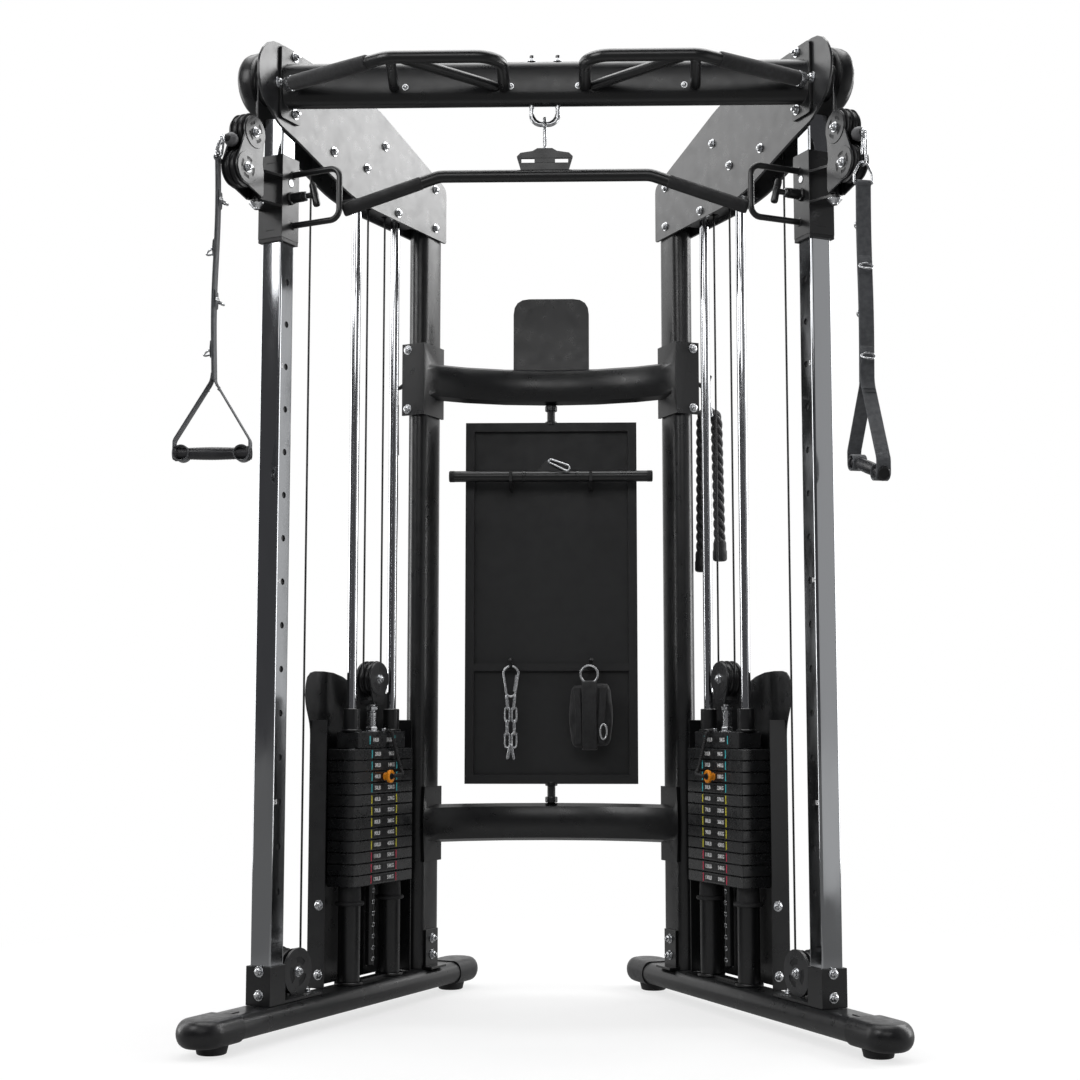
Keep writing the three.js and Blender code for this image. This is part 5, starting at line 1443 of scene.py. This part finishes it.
def triceps_rope():
    """Three-strand rope folded through its link, with a moulded stopper on each end."""
    place = SIDE_FRAME["right"]
    fold = HOOK_Z - 84
    route = rounded([(-56, HOOK_Y, 1040), (-60, HOOK_Y, fold), (-100, HOOK_Y, fold),
                     (-106, HOOK_Y, 1068)], 18, 8)
    line = resample(route, 3)
    tangents = [(b - a).normalized() for a, b in zip(line, line[1:] + [line[-1] + (line[-1] - line[-2])])]
    rope = Piece(ROPE)
    side_way = Vector((0, 1, 0))
    for k in range(3):
        points = []
        for i, (point, tangent) in enumerate(zip(line, tangents)):
            other = tangent.cross(side_way).normalized()
            angle = math.tau * (k / 3 + i * 3 / 70)
            points.append(point + side_way * 7.6 * math.cos(angle) + other * 7.6 * math.sin(angle))
        rope.tube(points, 7.2, 12)
    piece = rope.done("pull_rope", "triceps_rope", place, "rope_fibre", ["triceps_rope"])
    fittings = Piece(RUBBER, ZINC)
    for x, z in ((-56, 1040), (-106, 1068)):
        fittings.use(0).turned((x, HOOK_Y, z), UP, [
            (0, -28), (12, -28), (16, -26), (17.4, -22), (17.4, -4), (16, 0), (16, 16), (14, 22),
            (12.5, 24), (0, 24)], 36)
    link = rounded([(-80, HOOK_Y - 12, fold - 10), (-66, HOOK_Y - 14, HOOK_Z - 6),
                    (-66, HOOK_Y + 14, HOOK_Z - 6), (-80, HOOK_Y + 12, fold - 10)], 10, 8)
    fittings.use(1).tube(link, 3.4, 14)
    fittings.rod((-80, HOOK_Y, fold - 9), (0, 1, 0), -14, 14, 3.6, 0.8, 20)
    ends = fittings.done("rope_fittings", "triceps_rope", place, "rope_fibre")


def hook_strap():
    """Spare webbing strap on the left hook, seen on its edge."""
    piece = Piece(WEBBING, ZINC)
    y, x = HOOK_Y - 4, -72
    ring = [Vector((x, y + 13 * math.cos(a), HOOK_Z - 46 + 18 * math.sin(a))) for a in
            full_turn(28)]
    piece.use(1).tube(ring, 2.6, 12, closed=True)
    fall = [(x + 1.5 * math.sin(z * 0.012), y, z) for z in range(1430, 760, -14)]
    piece.use(0).strip(fall, (0, 1, 0), 30, 3)
    piece.strip([(x + 3.2 + 1.5 * math.sin(z * 0.012), y, z) for z in range(1430, 1290, -14)],
                (0, 1, 0), 30, 3)
    piece.done("spare_strap", "root", SIDE_FRAME["left"], "webbing")


# ------------------------------------------------------------------ assembly
for side_name in SIDES:
    side_pieces(side_name)
    pull_up_grip(side_name)
dress("top_beam", BLACK)
dress("upper_cross_beam", BLACK)
dress("lower_cross_beam", BLACK, reshape=plain_end)
dress("storage_board", BOARD_COAT, 1.8)
beam_details()
lat_bar()
straight_bar()
board_details()
chain()
ankle_cuff()
triceps_rope()
hook_strap()


# ------------------------------------------------------------------ studio
WHITE = 1.0  # brightness of the backdrop in the camera's eye
bpy.context.scene.view_settings.view_transform = "Standard"


def floor():
    """Pale floor that runs out into the white of the backdrop, so no horizon shows."""
    data = bpy.data.meshes.new("floor")
    span = 30
    data.from_pydata([(-span, -span, 0), (span, -span, 0), (span, span, 0), (-span, span, 0)], [],
                     [(0, 1, 2, 3)])
    surface = bpy.data.objects.new("floor", data)
    bpy.context.scene.collection.objects.link(surface)
    paper = Shader("floor_paper", (0.9, 0.9, 0.9), 0.8, Specular_IOR_Level=0.15)
    paper.vary_color(paper.noise(0.6, 2), (0.9, 0.9, 0.9), (0.91, 0.91, 0.91))
    distance = paper.nodes.new("ShaderNodeVectorMath")
    distance.operation = "LENGTH"
    paper.links.new(paper.place, distance.inputs[0])
    glow = paper.nodes.new("ShaderNodeEmission")
    ray = paper.nodes.new("ShaderNodeLightPath")
    paper.links.new(paper.spread(ray.outputs["Is Camera Ray"], 0.2, WHITE, 0, 1), glow.inputs["Strength"])
    blend = paper.nodes.new("ShaderNodeMixShader")
    paper.links.new(paper.spread(distance.outputs["Value"], 0.7, 1.0, 0.85, 2.0), blend.inputs["Fac"])
    paper.links.new(paper.main.outputs["BSDF"], blend.inputs[1])
    paper.links.new(glow.outputs["Emission"], blend.inputs[2])
    output = next(n for n in paper.nodes if n.type == "OUTPUT_MATERIAL")
    paper.links.new(blend.outputs["Shader"], output.inputs["Surface"])
    data.materials.append(paper.material)


def softbox(name, at, target, size, power):
    lamp = bpy.data.lights.new(name, "AREA")
    lamp.shape, lamp.size, lamp.size_y = "RECTANGLE", *size
    lamp.energy = power
    holder = bpy.data.objects.new(name, lamp)
    holder.location = at
    holder.rotation_euler = (Vector(target) - Vector(at)).to_track_quat("-Z", "Y").to_euler()
    holder.visible_camera = False
    bpy.context.scene.collection.objects.link(holder)


def studio_world():
    """White all round, with a dark sector behind the camera for the chrome to reflect."""
    world = bpy.data.worlds.new("studio")
    bpy.context.scene.world = world
    world.use_nodes = True
    nodes, links = world.node_tree.nodes, world.node_tree.links
    nodes.clear()
    place = nodes.new("ShaderNodeTexCoord")
    split = nodes.new("ShaderNodeSeparateXYZ")
    links.new(place.outputs["Generated"], split.inputs["Vector"])
    ramp = nodes.new("ShaderNodeValToRGB")
    links.new(split.outputs["Y"], ramp.inputs["Fac"])
    ramp.color_ramp.elements[0].position, ramp.color_ramp.elements[0].color = 0.0, (0.1, 0.1, 0.105, 1)
    ramp.color_ramp.elements[1].position, ramp.color_ramp.elements[1].color = 0.45, (1, 1, 1, 1)
    glow = nodes.new("ShaderNodeBackground")
    links.new(ramp.outputs["Color"], glow.inputs["Color"])
    glow.inputs["Strength"].default_value = 0.75
    plain = nodes.new("ShaderNodeBackground")
    plain.inputs["Color"].default_value = (1, 1, 1, 1)
    plain.inputs["Strength"].default_value = WHITE
    ray = nodes.new("ShaderNodeLightPath")
    mix = nodes.new("ShaderNodeMixShader")
    links.new(ray.outputs["Is Camera Ray"], mix.inputs["Fac"])
    links.new(glow.outputs["Background"], mix.inputs[1])
    links.new(plain.outputs["Background"], mix.inputs[2])
    out = nodes.new("ShaderNodeOutputWorld")
    links.new(mix.outputs["Shader"], out.inputs["Surface"])


def camera():
    lens = bpy.data.cameras.new("camera")
    lens.sensor_width, lens.lens = 36, 58.19
    holder = bpy.data.objects.new("camera", lens)
    holder.location = MIDDLE + Vector((0.0848, -3.6662, 0.6518))
    holder.rotation_euler = (math.radians(90 + 5.917), 0, math.radians(1.4985))
    bpy.context.scene.collection.objects.link(holder)
    bpy.context.scene.camera = holder


floor()
studio_world()
softbox("key", (-2.6, -2.4, 3.2), (0, 0, 1.1), (1.8, 1.8), 50)
softbox("left_strip", (-3.4, 0.6, 1.4), (0, 0, 1.1), (1.0, 2.6), 45)
softbox("right_strip", (3.4, 0.6, 1.4), (0, 0, 1.1), (1.0, 2.6), 60)
softbox("overhead", (0, 0.2, 4.2), (0, 0, 0), (3.4, 2.4), 90)
softbox("rear_right", (3.4, 2.3, 3.7), (0, 0.2, 1.6), (2.8, 1.6), 85)
softbox("rear_left", (-3.4, 2.3, 3.7), (0, 0.2, 1.6), (2.8, 1.6), 22)
softbox("front_right", (3.3, -1.7, 1.2), (0.5, -0.2, 1.1), (1.4, 3.0), 6)
softbox("front_high", (0, -4.6, 3.2), (0, 0, 1.9), (2.6, 1.6), 28)
camera()
